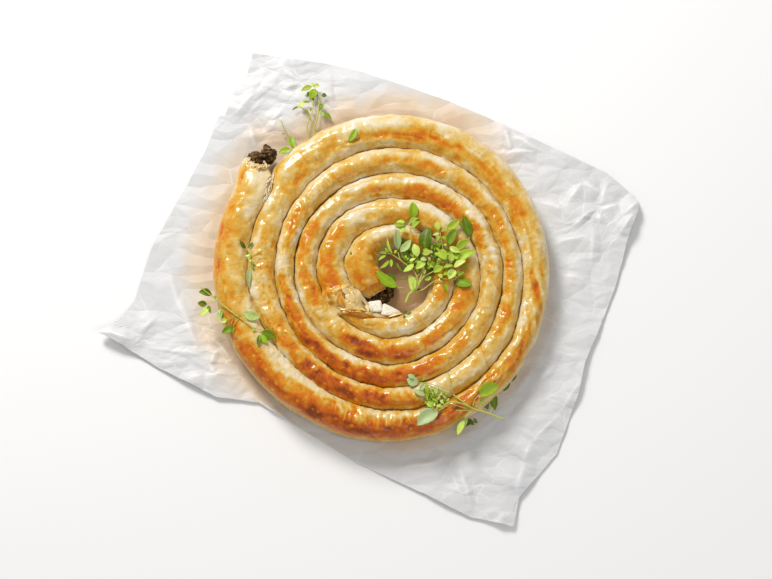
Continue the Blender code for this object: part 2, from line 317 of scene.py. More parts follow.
spoke = np.arange(PAPER_SPOKES) / PAPER_SPOKES * 2 * math.pi
edge_of_pie = pie_edge(spoke)
from_pie = edge_of_pie - 6
shares = np.linspace(0, 1, PAPER_ROWS)[:, None]
radii = np.concatenate([
    np.repeat(np.array(HIDDEN_ROWS)[:, None], PAPER_SPOKES, axis=1),
    from_pie + (outline_radius(PAPER_OUTLINE, spoke) - from_pie) * shares,
])
radii[-1] -= 0.8 * value_noise(spoke * 40, 0.5, 14)  # the cutter left a wavy edge
flat = (radii[..., None] * np.stack([np.cos(spoke), np.sin(spoke)], axis=-1)).reshape(-1, 2)
past_pie = (radii - edge_of_pie).reshape(-1)
loose = smoothstep((past_pie - 1) / 45)
crisp = smoothstep((past_pie - 1) / 9)
crumpled = np.zeros(len(flat))
for x, y, reach, strength in CRUMPLED:
    away = np.hypot(flat[:, 0] - x, flat[:, 1] - y)
    crumpled = np.maximum(crumpled, strength * smoothstep(1.6 - 1.2 * away / reach))
bent = flat + 6 * (np.stack([facets(flat, 16, 16), facets(flat, 16, 17)], axis=-1) - 0.5)
# Waves 52 mm apart lift the loose part, and it is crumpled in facets of 21 mm and 9 mm.
lift = loose * 4.5 * facets(flat, 52, 11)
lift += crisp * (0.6 + 2.4 * crumpled) * facets(bent, 21, 12)
lift += crisp * (0.1 + 0.5 * crumpled) * facets(flat, 9, 13)
tallest, cracked = np.zeros((2, len(flat)))
for x0, y0, x1, y1, tall, left, right in FOLDS:
    stands = fold(bent, (x0, y0), (x1, y1), left, right)
    tallest = np.maximum(tallest, tall * stands)
    # Along a fold's crest the coating has cracked white.
    crest = fold(bent, (x0, y0), (x1, y1), 2.6, 2.6)
    cracked = np.maximum(cracked, 0.7 * crest)
lift += crisp * tallest
lift = np.maximum(lift, 0.0)

# Under the pie the paper is soaked through, and from its edge the butter has crept outwards.
# Along the pie's right and lower right side the same beige is painted shadow.
grease_and_shadow = np.where(past_pie < -20, 1.0, 0.0)
direction = np.degrees(np.arctan2(flat[:, 1], flat[:, 0]))
blotchy = value_noise(flat[:, 0] / 14 + 40, flat[:, 1] / 14 + 40, 15) - 0.5
for degrees, width, reach, strength in GREASE_AND_SHADOW:
    turned = np.abs((direction - degrees + 180) % 360 - 180) / width
    spread = smoothstep(1.6 - 1.1 * turned)
    near = smoothstep(1.15 - past_pie / reach + 0.4 * blotchy)
    grease_and_shadow = np.maximum(grease_and_shadow, strength * spread * near)

# Point 0 is the middle of the sheet, and rings of points follow outwards.
paper_points = np.column_stack([CENTRE + flat, lift])
paper_points = np.concatenate([[(*CENTRE, 0.0)], paper_points])
grease_and_shadow = np.concatenate([[1.0], grease_and_shadow])
cracked = np.concatenate([[0.0], cracked * crisp])
crumpled = np.concatenate([[0.0], (0.25 + 0.75 * crumpled) * crisp])


def ring_quads(number):
    """Faces between rings of points, given as rows of corner numbers whose ends join up."""
    beside = np.roll(number, -1, axis=1)
    quads = np.stack([number[:-1], number[1:], beside[1:], beside[:-1]], axis=-1)
    return quads.reshape(-1, 4).tolist()


def pole_fan(pole, ring):
    """Triangles from a pole to each side of a ring, given as corner numbers."""
    return [(pole, a, b) for a, b in zip(ring, np.roll(ring, -1))]


number = 1 + np.arange(radii.size).reshape(radii.shape)
paper_faces = ring_quads(number) + pole_fan(0, number[0])

# Greaseproof paper: thin, white and satin. It cracks whiter along its creases, and turns beige
# where butter has soaked in and beside the pie's right and lower right side, where the beige is
# painted shadow.
greaseproof, tree, shader = new_material(
    "white greaseproof paper", {"Roughness": 0.5, "IOR": 1.48, "Specular IOR Level": 0.35}
)
soaked_and_shaded, bent_sharply, crumpling = (
    add_node(tree, "Attribute", attribute_name=name).outputs["Fac"]
    for name in ("grease_and_shadow", "cracked", "crumpled")
)
paper_place = add_node(tree, "TexCoord").outputs["Object"]
stained_and_shaded = add_node(
    tree, "ValToRGB", {"Fac": soaked_and_shaded}, stops=((0.0, "#D9D9DA"), (0.5, "#DECCB6"), (1.0, "#C29A6C"))
)
# The creases wander by up to 7 mm to either side, and come and go every 30 mm or so.
wobble = add_node(tree, "TexNoise", {"Vector": paper_place, "Scale": 38.0, "Detail": 1.0})
wobbled = add_node(
    tree, "VectorMath", {0: wobble.outputs["Color"], 1: (0.014, 0.014, 0.0), 2: paper_place},
    operation="MULTIPLY_ADD",
)
fading = add_node(tree, "TexNoise", {"Vector": paper_place, "Scale": 34.0, "Detail": 2.0})


def crease_pattern(turned, stretch, scale, wide, from_noise):
    """Flat facets between sharp creases, longer one way than the other: how far each place is from
    a crease, and 1 along the creases, which the fading noise lets show only here and there."""
    place = add_node(
        tree, "Mapping",
        {"Vector": wobbled, "Rotation": (0, 0, turned), "Scale": (1.0, stretch, 0.0)},
    )
    cells = add_node(
        tree, "TexVoronoi", {"Vector": place, "Scale": scale},
        feature="DISTANCE_TO_EDGE", voronoi_dimensions="2D",
    )
    line = add_node(
        tree, "MapRange", {"Value": cells, "From Max": wide, "To Min": 1.0, "To Max": 0.0}
    )
    shows = add_node(
        tree, "MapRange",
        {"Value": fading, "From Min": from_noise, "From Max": from_noise + 0.09, "To Max": 0.55},
    )
    return cells, add_node(tree, "Math", {0: line, 1: shows}, operation="MULTIPLY")


# Creases 45 mm and 17 mm apart, drawn about a millimetre wide so that they show.
large_facets, large_lines = crease_pattern(0.65, 1.9, 22.0, 0.022, 0.55)
small_facets, small_lines = (
    add_node(tree, "Math", {0: part, 1: crumpling}, operation="MULTIPLY")
    for part in crease_pattern(-0.50, 1.6, 58.0, 0.05, 0.49)
)
lines = add_node(tree, "Math", {0: large_lines, 1: small_lines}, operation="MAXIMUM")
creased = add_node(tree, "Math", {0: lines, 1: bent_sharply}, operation="MAXIMUM")
whitened = add_node(
    tree, "MixRGB", {"Fac": creased, "Color1": stained_and_shaded, "Color2": linear("#F4F4F4")}
)
faceted = add_node(
    tree, "Math", {0: small_facets, 1: 0.42, 2: large_facets}, operation="MULTIPLY_ADD"
)
rough = add_node(tree, "Bump", {"Height": faceted, "Strength": 1.0, "Distance": 0.0027})
set_inputs(shader, {"Base Color": whitened, "Normal": rough})


def store_values(piece, name, values):
    """Keep a number or a vector for each point of the mesh, for its material to read."""
    values = np.asarray(values, np.float32)
    kind, key = ("FLOAT_VECTOR", "vector") if values.ndim == 2 else ("FLOAT", "value")
    piece.data.attributes.new(name, kind, "POINT").data.foreach_set(key, values.reshape(-1))


paper = mesh_object("baking_paper_sheet", paper_points, paper_faces, greaseproof, smooth=False)
for name, values in (("grease_and_shadow", grease_and_shadow), ("cracked", cracked), ("crumpled", crumpled)):
    store_values(paper, name, values)
wall = paper.modifiers.new("thickness", "SOLIDIFY")
wall.thickness = PAPER_THICKNESS / 1000
wall.offset = 1.0
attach(paper, "root")
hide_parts("baking_paper")

# ------------------------------------------------------------------------------
# The filo rope: leaves of buttered filo rolled round the filling, coiled, brushed with butter and
# egg and baked. Its turns are pressed together, so each one's outer side is the next one's inner
# side. It is pleated and creased, torn open beside the centre, and open at both ends.
# Places along the rope are in turns. Places across it run from -1, the inner side, to 1.
# ------------------------------------------------------------------------------
# Radius of the rope's outer side at every eighth of a turn, a turn to a row, and before turn 0.
COIL_RADII = (
    (42.0, 45.0, 44.0, 47.5, 54.0, 57.0, 60.0, 60.0),
    (67.0, 69.5, 68.0, 72.0, 77.5, 79.0, 83.0, 83.0),
    (87.0, 89.5, 92.0, 94.5, 97.0, 100.0, 103.5, 102.0),
    (103.5, 110.0, 115.5, 114.5, 114.5, 121.0, 124.0, 121.0),
    (128.5, 132.0),
)
HOOK_RADII = ((-0.15, 30.0), (-0.07, 36.5))
# The first turn's inner side, round the open centre: turns, x and y from the centre.
CENTRE_SIDE = (
    (-0.15, -1, -14), (-0.07, -3.5, -3), (0, -11, 4.5), (0.07, -13.5, 11.5), (0.125, -12, 17),
    (0.19, -8, 21.5), (0.25, 0, 24), (0.375, 19, 19.5), (0.5, 33.5, 0), (0.625, 26, -26),
    (0.75, 0, -40), (0.81, -16, -40), (0.86, -26.5, -32), (0.9, -27.5, -20),
)
ROPE_START = -0.1456
ROPE_END = 5.1044
ROPE_HEIGHT = 28.0
HEIGHT_GAIN = 0.4  # for each turn outwards
STEP_ALONG = 1.24  # between rows of points
CROWN_POINTS = 34  # round a section, above and below its widest line
FOOT_POINTS = 6


def rope_direction(turns):
    """Unit vectors from the centre. Turn 0 and every whole turn lie on -X; turns run clockwise."""
    angle = math.pi - 2 * math.pi * turns
    return np.stack([np.cos(angle), np.sin(angle)], axis=-1)


def rope_radius(turns):
    """Radius of the rope's outer side: through the eighths of a turn, swelling past the outer end,
    and wavering by half a millimetre or so as soft dough does."""
    coiled = [r for row in COIL_RADII for r in row]
    keys = [t for t, _ in HOOK_RADII] + [k / 8 for k in range(len(coiled))]
    radii = [r for _, r in HOOK_RADII] + coiled
    inside = curve_through(keys, radii, np.minimum(turns, keys[-1]))
    free_keys = [FREE_FROM + k / 8 for k in range(len(FREE_RADII))]
    outside = curve_through(free_keys, FREE_RADII, np.maximum(turns, FREE_FROM))
    swell = smoothstep((turns - (ROPE_END - 1) + 0.014) / 0.034)
    waver = value_noise(turns * 34, 3.5, 5) + 0.7 * value_noise(turns * 80, 0.0, 6)
    return inside + (outside - inside) * swell + 1.5 * (waver - 0.85)


def rope_sections(turns):
    """Section middles and the vectors from middle to outer side, relative to the coil's centre. A
    section's inner side is the rope's outer side one turn before, or the curve of CENTRE_SIDE on
    the first turn. Most turns touch, and some stand up to a millimetre apart."""
    outer = rope_radius(turns)[:, None] * rope_direction(turns)
    keys = np.array(CENTRE_SIDE)
    centre_side = curve_through(keys[:, 0], keys[:, 1:], np.minimum(turns, keys[-1, 0]))
    against_rope = rope_radius(turns - 1)[:, None] * rope_direction(turns)
    inner = np.where((turns < keys[-1, 0])[:, None], centre_side, against_rope)
    half = (outer - inner) / 2
    gap = 0.06 + 0.7 * smoothstep(2.6 * value_noise(turns * 13, 0.5, 7) - 1.5)
    half *= (1 - gap / 2 / np.linalg.norm(half, axis=1))[:, None]
    return (outer + inner) / 2, half


def even_turns(step):
    """Places along the rope in turns, so that the middle line moves on by one step each time."""
    fine = np.linspace(ROPE_START, ROPE_END, 8001)
    middle, _ = rope_sections(fine)
    way = np.concatenate([[0], np.cumsum(np.linalg.norm(np.diff(middle, axis=0), axis=1))])
    at = np.linspace(0, way[-1], int(way[-1] / step) + 1)
    return np.interp(at, way, fine), at


turns, along = even_turns(STEP_ALONG)
middle, half = rope_sections(turns)
half_width = np.linalg.norm(half, axis=1)
to_start, to_end = along, along[-1] - along
# The roll narrows a little towards its outer end, and its inner end has slumped and closed in.
narrowed = 1 - 0.10 * smoothstep(1 - to_end / 16) - 0.12 * smoothstep(1 - to_start / 9)
half = half * narrowed[:, None]
height = ROPE_HEIGHT + HEIGHT_GAIN * turns
height *= 1 + 0.03 * np.sin(10.7 * turns) + 0.02 * np.sin(18.2 * turns + 1.0)
height *= 1 - 0.16 * smoothstep(-turns / 0.15) - 0.22 * smoothstep(1 - to_start / 8)
height *= 1 - 0.12 * smoothstep(1 - to_end / 18)
# The roll is lumpy: it thickens and thins by about a millimetre every few centimetres.
height += 2.4 * (value_noise(along / 26, 0.5, 1) - 0.5)

CROWN_SHAPE = 2.15  # exponent of the section above its widest line: 2 is round, more is squarer
FOOT_SHAPE = 4.0  # and below it
WIDEST_PRESSED = 0.66  # height share of the widest line where two turns press on each other
WIDEST_FREE = 0.46  # and on the free sides
crown_angle = np.linspace(0, math.pi, CROWN_POINTS + 1)[:-1]
foot_angle = np.linspace(math.pi, 2 * math.pi, FOOT_POINTS + 1)[:-1]
round_angle = np.concatenate([crown_angle, foot_angle])
c, s = np.cos(round_angle), np.sin(round_angle)
shape = np.where(s >= 0, CROWN_SHAPE, FOOT_SHAPE)
across = np.sign(c) * np.abs(c) ** (2 / shape)
arch = np.abs(s) ** (2 / shape)

# For every point of the skin: S is its place across, U its turns and L its mm along, R its share
# of the height, and W the arc length from the crest, positive towards the outer side.
S = np.broadcast_to(across, (len(turns), len(across)))
U = np.broadcast_to(turns[:, None], S.shape)
L = np.broadcast_to(along[:, None], S.shape)
# 1 where no turn presses on the skin: on the last turn's outer side and the first one's inner side.
free_side = np.where(S > 0, smoothstep((U - 4.09) / 0.02), smoothstep((0.88 - U) / 0.04))
widest = WIDEST_PRESSED - (WIDEST_PRESSED - WIDEST_FREE) * free_side * smoothstep(np.abs(S) / 0.5)
R = np.where(s >= 0, widest + (1 - widest) * arch, np.maximum(widest * (1 - 1.05 * arch), 0.0))
W = np.where(round_angle > 1.5 * math.pi, 2.5 * math.pi - round_angle, math.pi / 2 - round_angle)
W = W[None, :] * half_width[:, None] * 1.1

skin = np.empty((*S.shape, 3))
lean = 0.10 * (value_noise(L / 34, 0.5, 2) - 0.5) * (1 - S * S)
skin[..., :2] = CENTRE + middle[:, None, :] + (S + lean)[..., None] * half[:, None, :]
skin[..., 2] = PIE_FOOT + height[:, None] * R


def outward(grid):
    """Unit normals of a grid of points: the cross product of its steps along and around."""
    ahead = np.gradient(grid, axis=0)
    around = np.roll(grid, -1, axis=1) - np.roll(grid, 1, axis=1)
    normal = np.cross(ahead, around)
    normal /= np.linalg.norm(normal, axis=-1, keepdims=True) + 1e-9
    return normal


def ridges(x, y, seed):
    """Creases: 1 along the lines where the noise passes through one half, and less off them."""
    return 1 - np.abs(2 * value_noise(x, y, seed) - 1)


def layered_noise(x, y, seed):
    """Three octaves of value noise, each half as large and half as strong, from 0 to 1."""
    total = value_noise(x, y, seed) + 0.5 * value_noise(2 * x, 2 * y, seed + 1)
    return (total + 0.25 * value_noise(4 * x, 4 * y, seed + 2)) / 1.75


def in_zones(zones):
    """1 within a zone's reach along and across the rope, fading at its edge. The strongest wins."""
    mask = np.zeros(S.shape)
    for place, reach, side, spread, strength in zones:
        distance = np.hypot((U - place) / reach, (S - side) / spread)
        mask = np.maximum(mask, strength * smoothstep(2 - 2 * distance))
    return mask


top = smoothstep((R - 0.50) / 0.35)  # how far a point faces up out of the seams

# Relief in mm. The lumps of the filling show through the crust. The warp bends the patterns of
# pleats and creases, so that none runs straight.
lumps = 1.7 * (layered_noise(L / 15, W / 11, 21) - 0.5)
lumps += 1.7 * (layered_noise(L / 6.5, W / 5, 31) - 0.5)
warp = 5 * layered_noise(L / 18, W / 14, 41)

# Pleats across the rope, where a bend has gathered the leaves: faint all along, and deep in zones
# of place in turns and its reach, place across and its spread, and strength.
PLEATS = (
    (0.72, 0.07, 0.1, 1.1, 1.2), (1.38, 0.05, 0.3, 1, 0.8), (1.76, 0.04, -0.4, 0.9, 0.9),
    (1.9, 0.06, 0, 1, 1), (2.15, 0.08, 0.4, 0.8, 0.8), (2.36, 0.12, 0.4, 0.9, 0.9),
    (2.47, 0.05, 0.1, 1.1, 1.3), (3.14, 0.05, 0.1, 1, 0.9), (3.55, 0.08, -0.5, 0.8, 0.8),
    (3.73, 0.05, -0.2, 1, 1.1), (3.87, 0.06, -0.6, 0.8, 0.9), (4.77, 0.09, -0.35, 0.75, 1.6),
    (4.9, 0.04, -0.6, 0.6, 0.7), (0.58, 0.07, -0.3, 0.9, 0.8), (0.12, 0.1, -0.5, 0.8, 0.9),
    (4.5, 0.05, -0.6, 0.6, 0.9), (2.8, 0.08, -0.5, 0.7, 0.9),
)
pleated_anywhere = smoothstep(3.0 * layered_noise(L / 26, W / 10, 51) - 1.5)
pleat_mask = np.maximum(in_zones(PLEATS), 0.30 + 0.6 * pleated_anywhere)
pleats = ridges(L / 3.6 + 0.8 * warp, W / 18 + 0.3 * warp, 52) ** 2
pleats += 0.6 * ridges(L / 2.1 + warp, W / 12, 53) ** 2

# Creases along the rope, where the leaves' edges lie, and slanting ones, where it has twisted.
CREASES = (
    (4.16, 0.06, -0.2, 0.9, 1.3), (4.27, 0.1, -0.3, 0.6, 1.3), (4.4, 0.08, -0.3, 0.6, 1),
    (1.22, 0.06, 0.3, 0.8, 0.6), (2.15, 0.07, 0.3, 0.8, 0.7), (3.45, 0.1, -0.4, 0.6, 0.6),
    (5.03, 0.06, 0.6, 0.5, 1.2), (3.05, 0.05, 0.2, 0.8, 0.6), (2.72, 0.05, -0.6, 0.5, 0.8),
)
creased_anywhere = smoothstep(3.0 * layered_noise(L / 34, W / 12, 61) - 1.75)
crease_mask = np.maximum(in_zones(CREASES), creased_anywhere)
creases = ridges(L / 30, W / 3.2 + L / 26 + 0.5 * warp, 62) ** 3
SLANTS = (
    (4.66, 0.07, 0, 0.9, 2), (4.56, 0.08, 0.3, 0.8, 1.4), (4.48, 0.06, 0.4, 0.7, 0.9),
    (3.58, 0.05, 0, 0.9, 0.7), (2.62, 0.06, 0.2, 0.8, 0.6), (1.57, 0.05, -0.1, 0.9, 0.7),
    (3.28, 0.06, 0.1, 0.9, 0.6),
)
slanted_anywhere = smoothstep(3.0 * layered_noise(L / 30, W / 12, 71) - 1.8)
slant_mask = np.maximum(in_zones(SLANTS), slanted_anywhere)
slants = ridges((L + 1.6 * W) / 20, (W - 0.55 * L) / 2.3 + 0.4 * warp, 72) ** 2
# Twisted strands: long slanting folds 3 mm wide, where the outer turn was rolled loosely.
STRANDS = ((4.46, 0.05, 0.1, 0.9, 0.7), (4.55, 0.07, 0.1, 1.0, 1.0), (4.66, 0.06, 0.1, 1.0, 1.0))
strand_mask = in_zones(STRANDS)
strands = value_noise((W - 0.42 * L) / 3.1 + 0.25 * warp, (L + 2.0 * W) / 60, 74)

# The edges of single leaves run slowly across the rope: turns and place across at both ends, and
# how thick the step is in mm. The leaf on the outer side of the line lies on top.
LEAF_EDGES = (
    (4.12, -0.7, 4.36, -0.25, 0.9), (4.1, -0.2, 4.3, -0.75, 0.8), (4.3, 0.15, 4.55, -0.5, 0.7),
    (5.06, 0.75, 4.93, 0.2, 1), (4.98, 0.7, 4.84, 0.35, 0.6), (3.02, -0.6, 3.14, 0.5, 0.7),
    (3.31, -0.8, 3.345, 0.8, 0.9), (3.615, -0.9, 3.63, 0.9, 1), (2.1, 0.75, 2.28, 0.3, 0.7),
    (2.5, -0.8, 2.535, 0.8, 0.8), (1.14, 0.8, 1.3, -0.2, 0.6), (1.6, 0.7, 1.7, -0.1, 0.7),
    (3.8, -0.7, 3.98, -0.2, 0.7), (2.86, 0, 3, 0.7, 0.7), (0.3, 0.7, 0.52, 0, 0.7),
    (4.6, 0.55, 4.72, -0.4, 1), (4.55, 0.1, 4.68, -0.6, 0.9), (1.93, -0.6, 2.06, 0.4, 0.6),
    (5.112, 0.35, 5.085, 0.62, 1.4), (5.1, 0.52, 5.045, 0.85, 1.2),
)
leaf_steps, leaf_lines = np.zeros((2, *S.shape))
for from_turn, from_side, to_turn, to_side, thick in LEAF_EDGES:
    share = (U - from_turn) / (to_turn - from_turn)
    side = from_side + (to_side - from_side) * np.clip(share, 0, 1)
    side = side + 0.26 * (value_noise(L / 6, 0.5, 64) - 0.5)
    fade = smoothstep(share / 0.12) * smoothstep((1 - share) / 0.12)
    past = (S - side) * half_width[:, None]
    leaf_steps += thick * fade * smoothstep(past / 0.9 + 0.5) * np.exp(-np.maximum(past, 0) / 5)
    leaf_lines = np.maximum(leaf_lines, fade * np.exp(-((past / 0.8) ** 2)))


def oven_heat(turns):
    """How hot the oven was along the rope, from -1 to 1: the cosine of the way round the coil from
    the hottest side."""
    return np.cos(2 * math.pi * (turns - HOTTEST))


# Large blisters: domes of steam, most of them towards the side that was hotter in the oven.
HOTTEST = 0.84  # turns
BLISTERS_TRIED = 1100
blisters = np.zeros(S.shape)
draw = np.random.default_rng(81)
for _ in range(BLISTERS_TRIED):
    place = draw.uniform(0, along[-1])
    spot = draw.normal(0, 6)
    reach = draw.uniform(0.8, 2.2)
    if oven_heat(np.interp(place, along, turns)) < draw.uniform(-1.2, 1.0):
        continue
    rows_near = slice(*np.searchsorted(along, (place - 3 * reach, place + 3 * reach)))
    apart = np.hypot(L[rows_near] - place, (W[rows_near] - spot) * draw.uniform(0.8, 1.4)) / reach
    bubble = reach * np.sqrt(np.clip(1 - apart**2, 0, 1))
    blisters[rows_near] = np.maximum(blisters[rows_near], bubble)

# The tear: a slanting line in turns across the rope. Past it the outer leaves are gone, and the
# pale inner ones lie crumpled a few millimetres lower.
TEAR_FROM = 0.800
TEAR_SLANT = 0.045  # turns for each unit across
TEAR_TO = 0.955
past_tear = (U - TEAR_FROM - TEAR_SLANT * (S + 1)) + 0.006 * (value_noise(W / 3, L / 9, 66) - 0.5)
torn = smoothstep(past_tear / 0.006) * smoothstep((TEAR_TO - U) / 0.012)
lip = np.exp(-((past_tear / 0.007) ** 2)) * smoothstep((0.90 - U) / 0.02)
crumpled_leaves = ridges(L / 8 + 0.5 * warp, W / 8, 67) ** 2
crumpled_leaves = crumpled_leaves + 0.5 * ridges(L / 3.2, W / 3.4 + 0.3 * warp, 68) ** 2

relief = lumps - 0.60 * pleats * pleat_mask + 0.55 * creases * crease_mask
relief += 0.6 * slants * slant_mask
relief += 0.34 * blisters + leaf_steps + 1.5 * strand_mask * (strands - 0.5)
relief = relief * (1 - torn) + torn * (3.0 * crumpled_leaves - 4.4) + 0.9 * lip

# Dry, flaky zones, where the leaves have parted and the butter hasn't reached.
FLAKY = (
    (4.875, 0.075, -0.75, 0.42, 1), (4.93, 0.05, -0.7, 0.35, 0.8), (3.97, 0.07, 0.1, 0.8, 0.35),
    (5.105, 0.03, -0.45, 0.6, 0.9),
)
flaky = np.maximum(in_zones(FLAKY), torn)
relief += 0.8 * flaky * (1 - torn) * (ridges(L / 2.4 + warp, W / 2.0, 69) - 0.6)

# Where the crust is browned: place in turns and its half length, place across and its half width,
# and how deep the colour is.
BROWNING = (
    (-0.115, 0.035, 0, 0.6, 0.62), (0, 0.13, -0.1, 0.75, 0.6), (0.16, 0.08, -0.45, 0.45, 0.52),
    (0.4, 0.12, -0.4, 0.5, 0.65), (0.55, 0.05, 0, 0.55, 0.62), (0.66, 0.06, 0.1, 0.5, 0.3),
    (0.83, 0.05, 0.35, 0.45, 0.35), (0.98, 0.05, 0.15, 0.5, 0.72), (1.06, 0.06, 0.25, 0.4, 0.62),
    (1.18, 0.08, -0.45, 0.4, 0.42), (1.33, 0.08, -0.45, 0.45, 0.62), (1.46, 0.08, -0.3, 0.5, 0.55),
    (1.56, 0.05, -0.3, 0.55, 0.68), (1.65, 0.07, 0.05, 0.45, 0.62), (1.74, 0.03, 0.3, 0.45, 0.78),
    (1.8, 0.05, 0.3, 0.45, 0.84), (1.86, 0.02, 0, 0.5, 0.55), (1.97, 0.05, 0, 0.45, 0.64),
    (2.05, 0.04, 0.2, 0.5, 0.66), (2.18, 0.06, -0.35, 0.4, 0.45), (2.34, 0.11, -0.4, 0.45, 0.8),
    (2.57, 0.04, -0.1, 0.4, 0.5), (2.64, 0.05, -0.2, 0.45, 0.52), (2.73, 0.05, 0.1, 0.55, 0.75),
    (2.84, 0.08, 0.4, 0.52, 0.84), (2.93, 0.05, 0.1, 0.45, 0.72), (3.08, 0.04, -0.05, 0.45, 0.6),
    (3.2, 0.05, -0.3, 0.4, 0.58), (3.29, 0.04, -0.35, 0.45, 0.62), (3.4, 0.06, -0.3, 0.45, 0.66),
    (3.52, 0.07, -0.2, 0.4, 0.64), (3.63, 0.04, 0, 0.35, 0.42), (3.75, 0.03, 0.2, 0.5, 0.7),
    (3.82, 0.06, 0.25, 0.62, 0.87), (3.9, 0.04, 0.05, 0.45, 0.62), (4, 0.05, -0.05, 0.4, 0.5),
    (4.14, 0.04, 0, 0.45, 0.4), (4.28, 0.06, -0.45, 0.35, 0.62), (4.38, 0.07, -0.45, 0.36, 0.68),
    (4.5, 0.07, -0.1, 0.6, 0.46), (4.62, 0.05, 0.1, 0.6, 0.52), (4.71, 0.04, 0.35, 0.6, 0.7),
    (4.8, 0.07, 0.45, 0.72, 0.88), (0.78, 0.06, -0.95, 0.14, 0.58), (4.89, 0.05, 0.55, 0.5, 0.74),
    (4.98, 0.05, 0.35, 0.6, 0.46), (5.05, 0.04, 0.3, 0.55, 0.52),
)
# The colour follows the heat and the relief: what stands proud browns first.
ragged = 1.5 * (layered_noise(L / 10, W / 8, 91) - 0.5)
ragged += 0.8 * (layered_noise(L / 3.2, W / 2.8, 94) - 0.5)
bake_and_painted_light = 0.04 + 0.56 * layered_noise(L / 20, W / 11, 97)
for place, reach, side, spread, depth in BROWNING:
    distance = np.hypot((U - place) / (1.25 * reach), (S - side) / (1.2 * spread))
    patch = smoothstep(1.45 - 0.95 * distance + 0.45 * ragged)
    bake_and_painted_light = bake_and_painted_light + (np.maximum(depth, bake_and_painted_light) - bake_and_painted_light) * patch
# Blister tops are painted lighter: a painted highlight on each dome.
bake_and_painted_light += 0.055 * oven_heat(U) - 0.11 * blisters * (1 - torn)
proud = relief * (1 - torn)
bake_and_painted_light += (
    0.13 * ragged
    + 0.07 * (proud - proud.mean()) / proud.std()
    - 0.10 * (pleats - 0.5) * pleat_mask
)
bake_and_painted_light += 0.28 * strand_mask * (strands - 0.5)
# Zones of fine dark specks, where crumbs of the leaves have scorched.
SPECKLED = ((3.97, 0.10, 0.1, 0.9, 1.0), (2.97, 0.04, 0.3, 0.6, 0.5), (4.88, 0.05, -0.7, 0.4, 0.7))
bake_and_painted_light += 0.40 * in_zones(SPECKLED) * smoothstep(5 * value_noise(L / 1.7, W / 1.5, 98) - 3.4)
# The rope's sides see less heat than its crown and stay pale.
bake_and_painted_light = 0.06 + (bake_and_painted_light - 0.06) * (0.50 + 0.50 * smoothstep((R - 0.50) / 0.38))
# Deep in a seam, between two pressed turns, the crust is painted brown: painted shade along
# the line where the turns meet.
bake_and_painted_light = bake_and_painted_light + (0.66 - bake_and_painted_light) * (1 - free_side) * smoothstep((0.72 - R) / 0.12)
# Dry flakes are pale, and the leaves in the tear are pale with amber spots.
bake_and_painted_light = bake_and_painted_light + (0.16 + 0.14 * ragged - bake_and_painted_light) * flaky
bake_and_painted_light += torn * (0.16 + 0.40 * smoothstep((layered_noise(L / 5, W / 4, 99) - 0.52) / 0.14))
# A leaf's dry edge colours sooner than the pale crust about it.
bake_and_painted_light += 0.55 * leaf_lines * (1 - torn) * np.maximum(0.62 - bake_and_painted_light, 0)
near_rim = smoothstep(1 - to_end / 7)[:, None]
bake_and_painted_light += (0.20 + 0.12 * ragged - bake_and_painted_light) * near_rim
flaky = np.maximum(flaky, near_rim)
# At the inner end the roll's leaves show edge on, as fried stripes.
stripes = np.sin(to_start[:, None] * 4.6 + 1.2 * value_noise(W / 5, L, 65))
stripes = smoothstep(1.6 - to_start / 3.2)[:, None] * stripes
bake_and_painted_light += 0.20 * stripes
relief += 0.35 * stripes
bake_and_painted_light = np.maximum(bake_and_painted_light, 0.80 * lip)
relief_share = np.maximum(top, 0.6 * free_side * smoothstep((R - 0.04) / 0.25))
skin += outward(skin) * (relief * relief_share)[..., None]

# Both ends are open: the skin turns in at a torn rim and runs back as a pocket round the filling.
# Each row of the pocket: how far back in mm and its size beside the rim.
POCKET = ((-0.8, 0.97), (0.4, 0.92), (5.0, 0.86), (13.0, 0.80))


def pocket_rows(rim, inwards, seed, fray):
    """Rows of a pocket: the rim's ring shrunk towards its middle and moved inwards, row by row,
    with a frayed edge that sticks out by noise."""
    heart = rim.mean(axis=0)
    count = len(rim)
    ragged_edge = value_noise(np.arange(count) * 0.8, 0.5, seed) - 0.35
    rows_in = []
    for k, (back, share) in enumerate(POCKET):
        frayed = fray * ragged_edge * max(0.0, 1 - k / 2)
        ring = heart + (rim - heart) * share + inwards * back
        ring = ring - inwards * frayed[:, None]
        ring[:, 2] = np.maximum(ring[:, 2], PIE_FOOT + 0.1 * (k + 1))
        rows_in.append(ring)
    return np.array(rows_in)


onward = np.array([*(middle[-1] - middle[-2]), 0.0])
onward /= np.linalg.norm(onward)
outwards = np.array([-onward[1], onward[0], 0.0])
# The end has been pulled straight and swings outwards. Its outer side does so from 28 mm before
# the rim on. Its inner side first bulges against the turn beside it, and lets go 9 mm before
# the rim.
swung = smoothstep(1 - to_end / 28)[:, None]
bulged = np.exp(-(((to_end - 19) / 9) ** 2))
let_go = (3.0 * smoothstep(1 - to_end / 9) - 1.3 * bulged)[:, None]
skin += (swung * (9.5 - 3.0 * S))[..., None] * onward
skin += (3.75 * swung * (1 + S) + let_go * (1 - S))[..., None] * outwards
# The open rim dips in the middle, where the oven has shrunk the leaves back off the filling.
dipped = smoothstep(1 - to_end / 12)[:, None] * np.maximum(1 - (S / 0.75) ** 2, 0) * top
skin -= 4.5 * dipped[..., None] * onward
backward = np.array([*(middle[0] - middle[1]), 0.0])
backward /= np.linalg.norm(backward)
skin -= 4.2 * smoothstep(1 - to_start / 22)[:, None, None] * backward
outer_pocket = pocket_rows(skin[-1], -onward, 83, 4.2)
inner_pocket = pocket_rows(skin[0], -backward, 84, 1.6)
skin = np.concatenate([inner_pocket[::-1], skin, outer_pocket])
deep = len(POCKET)


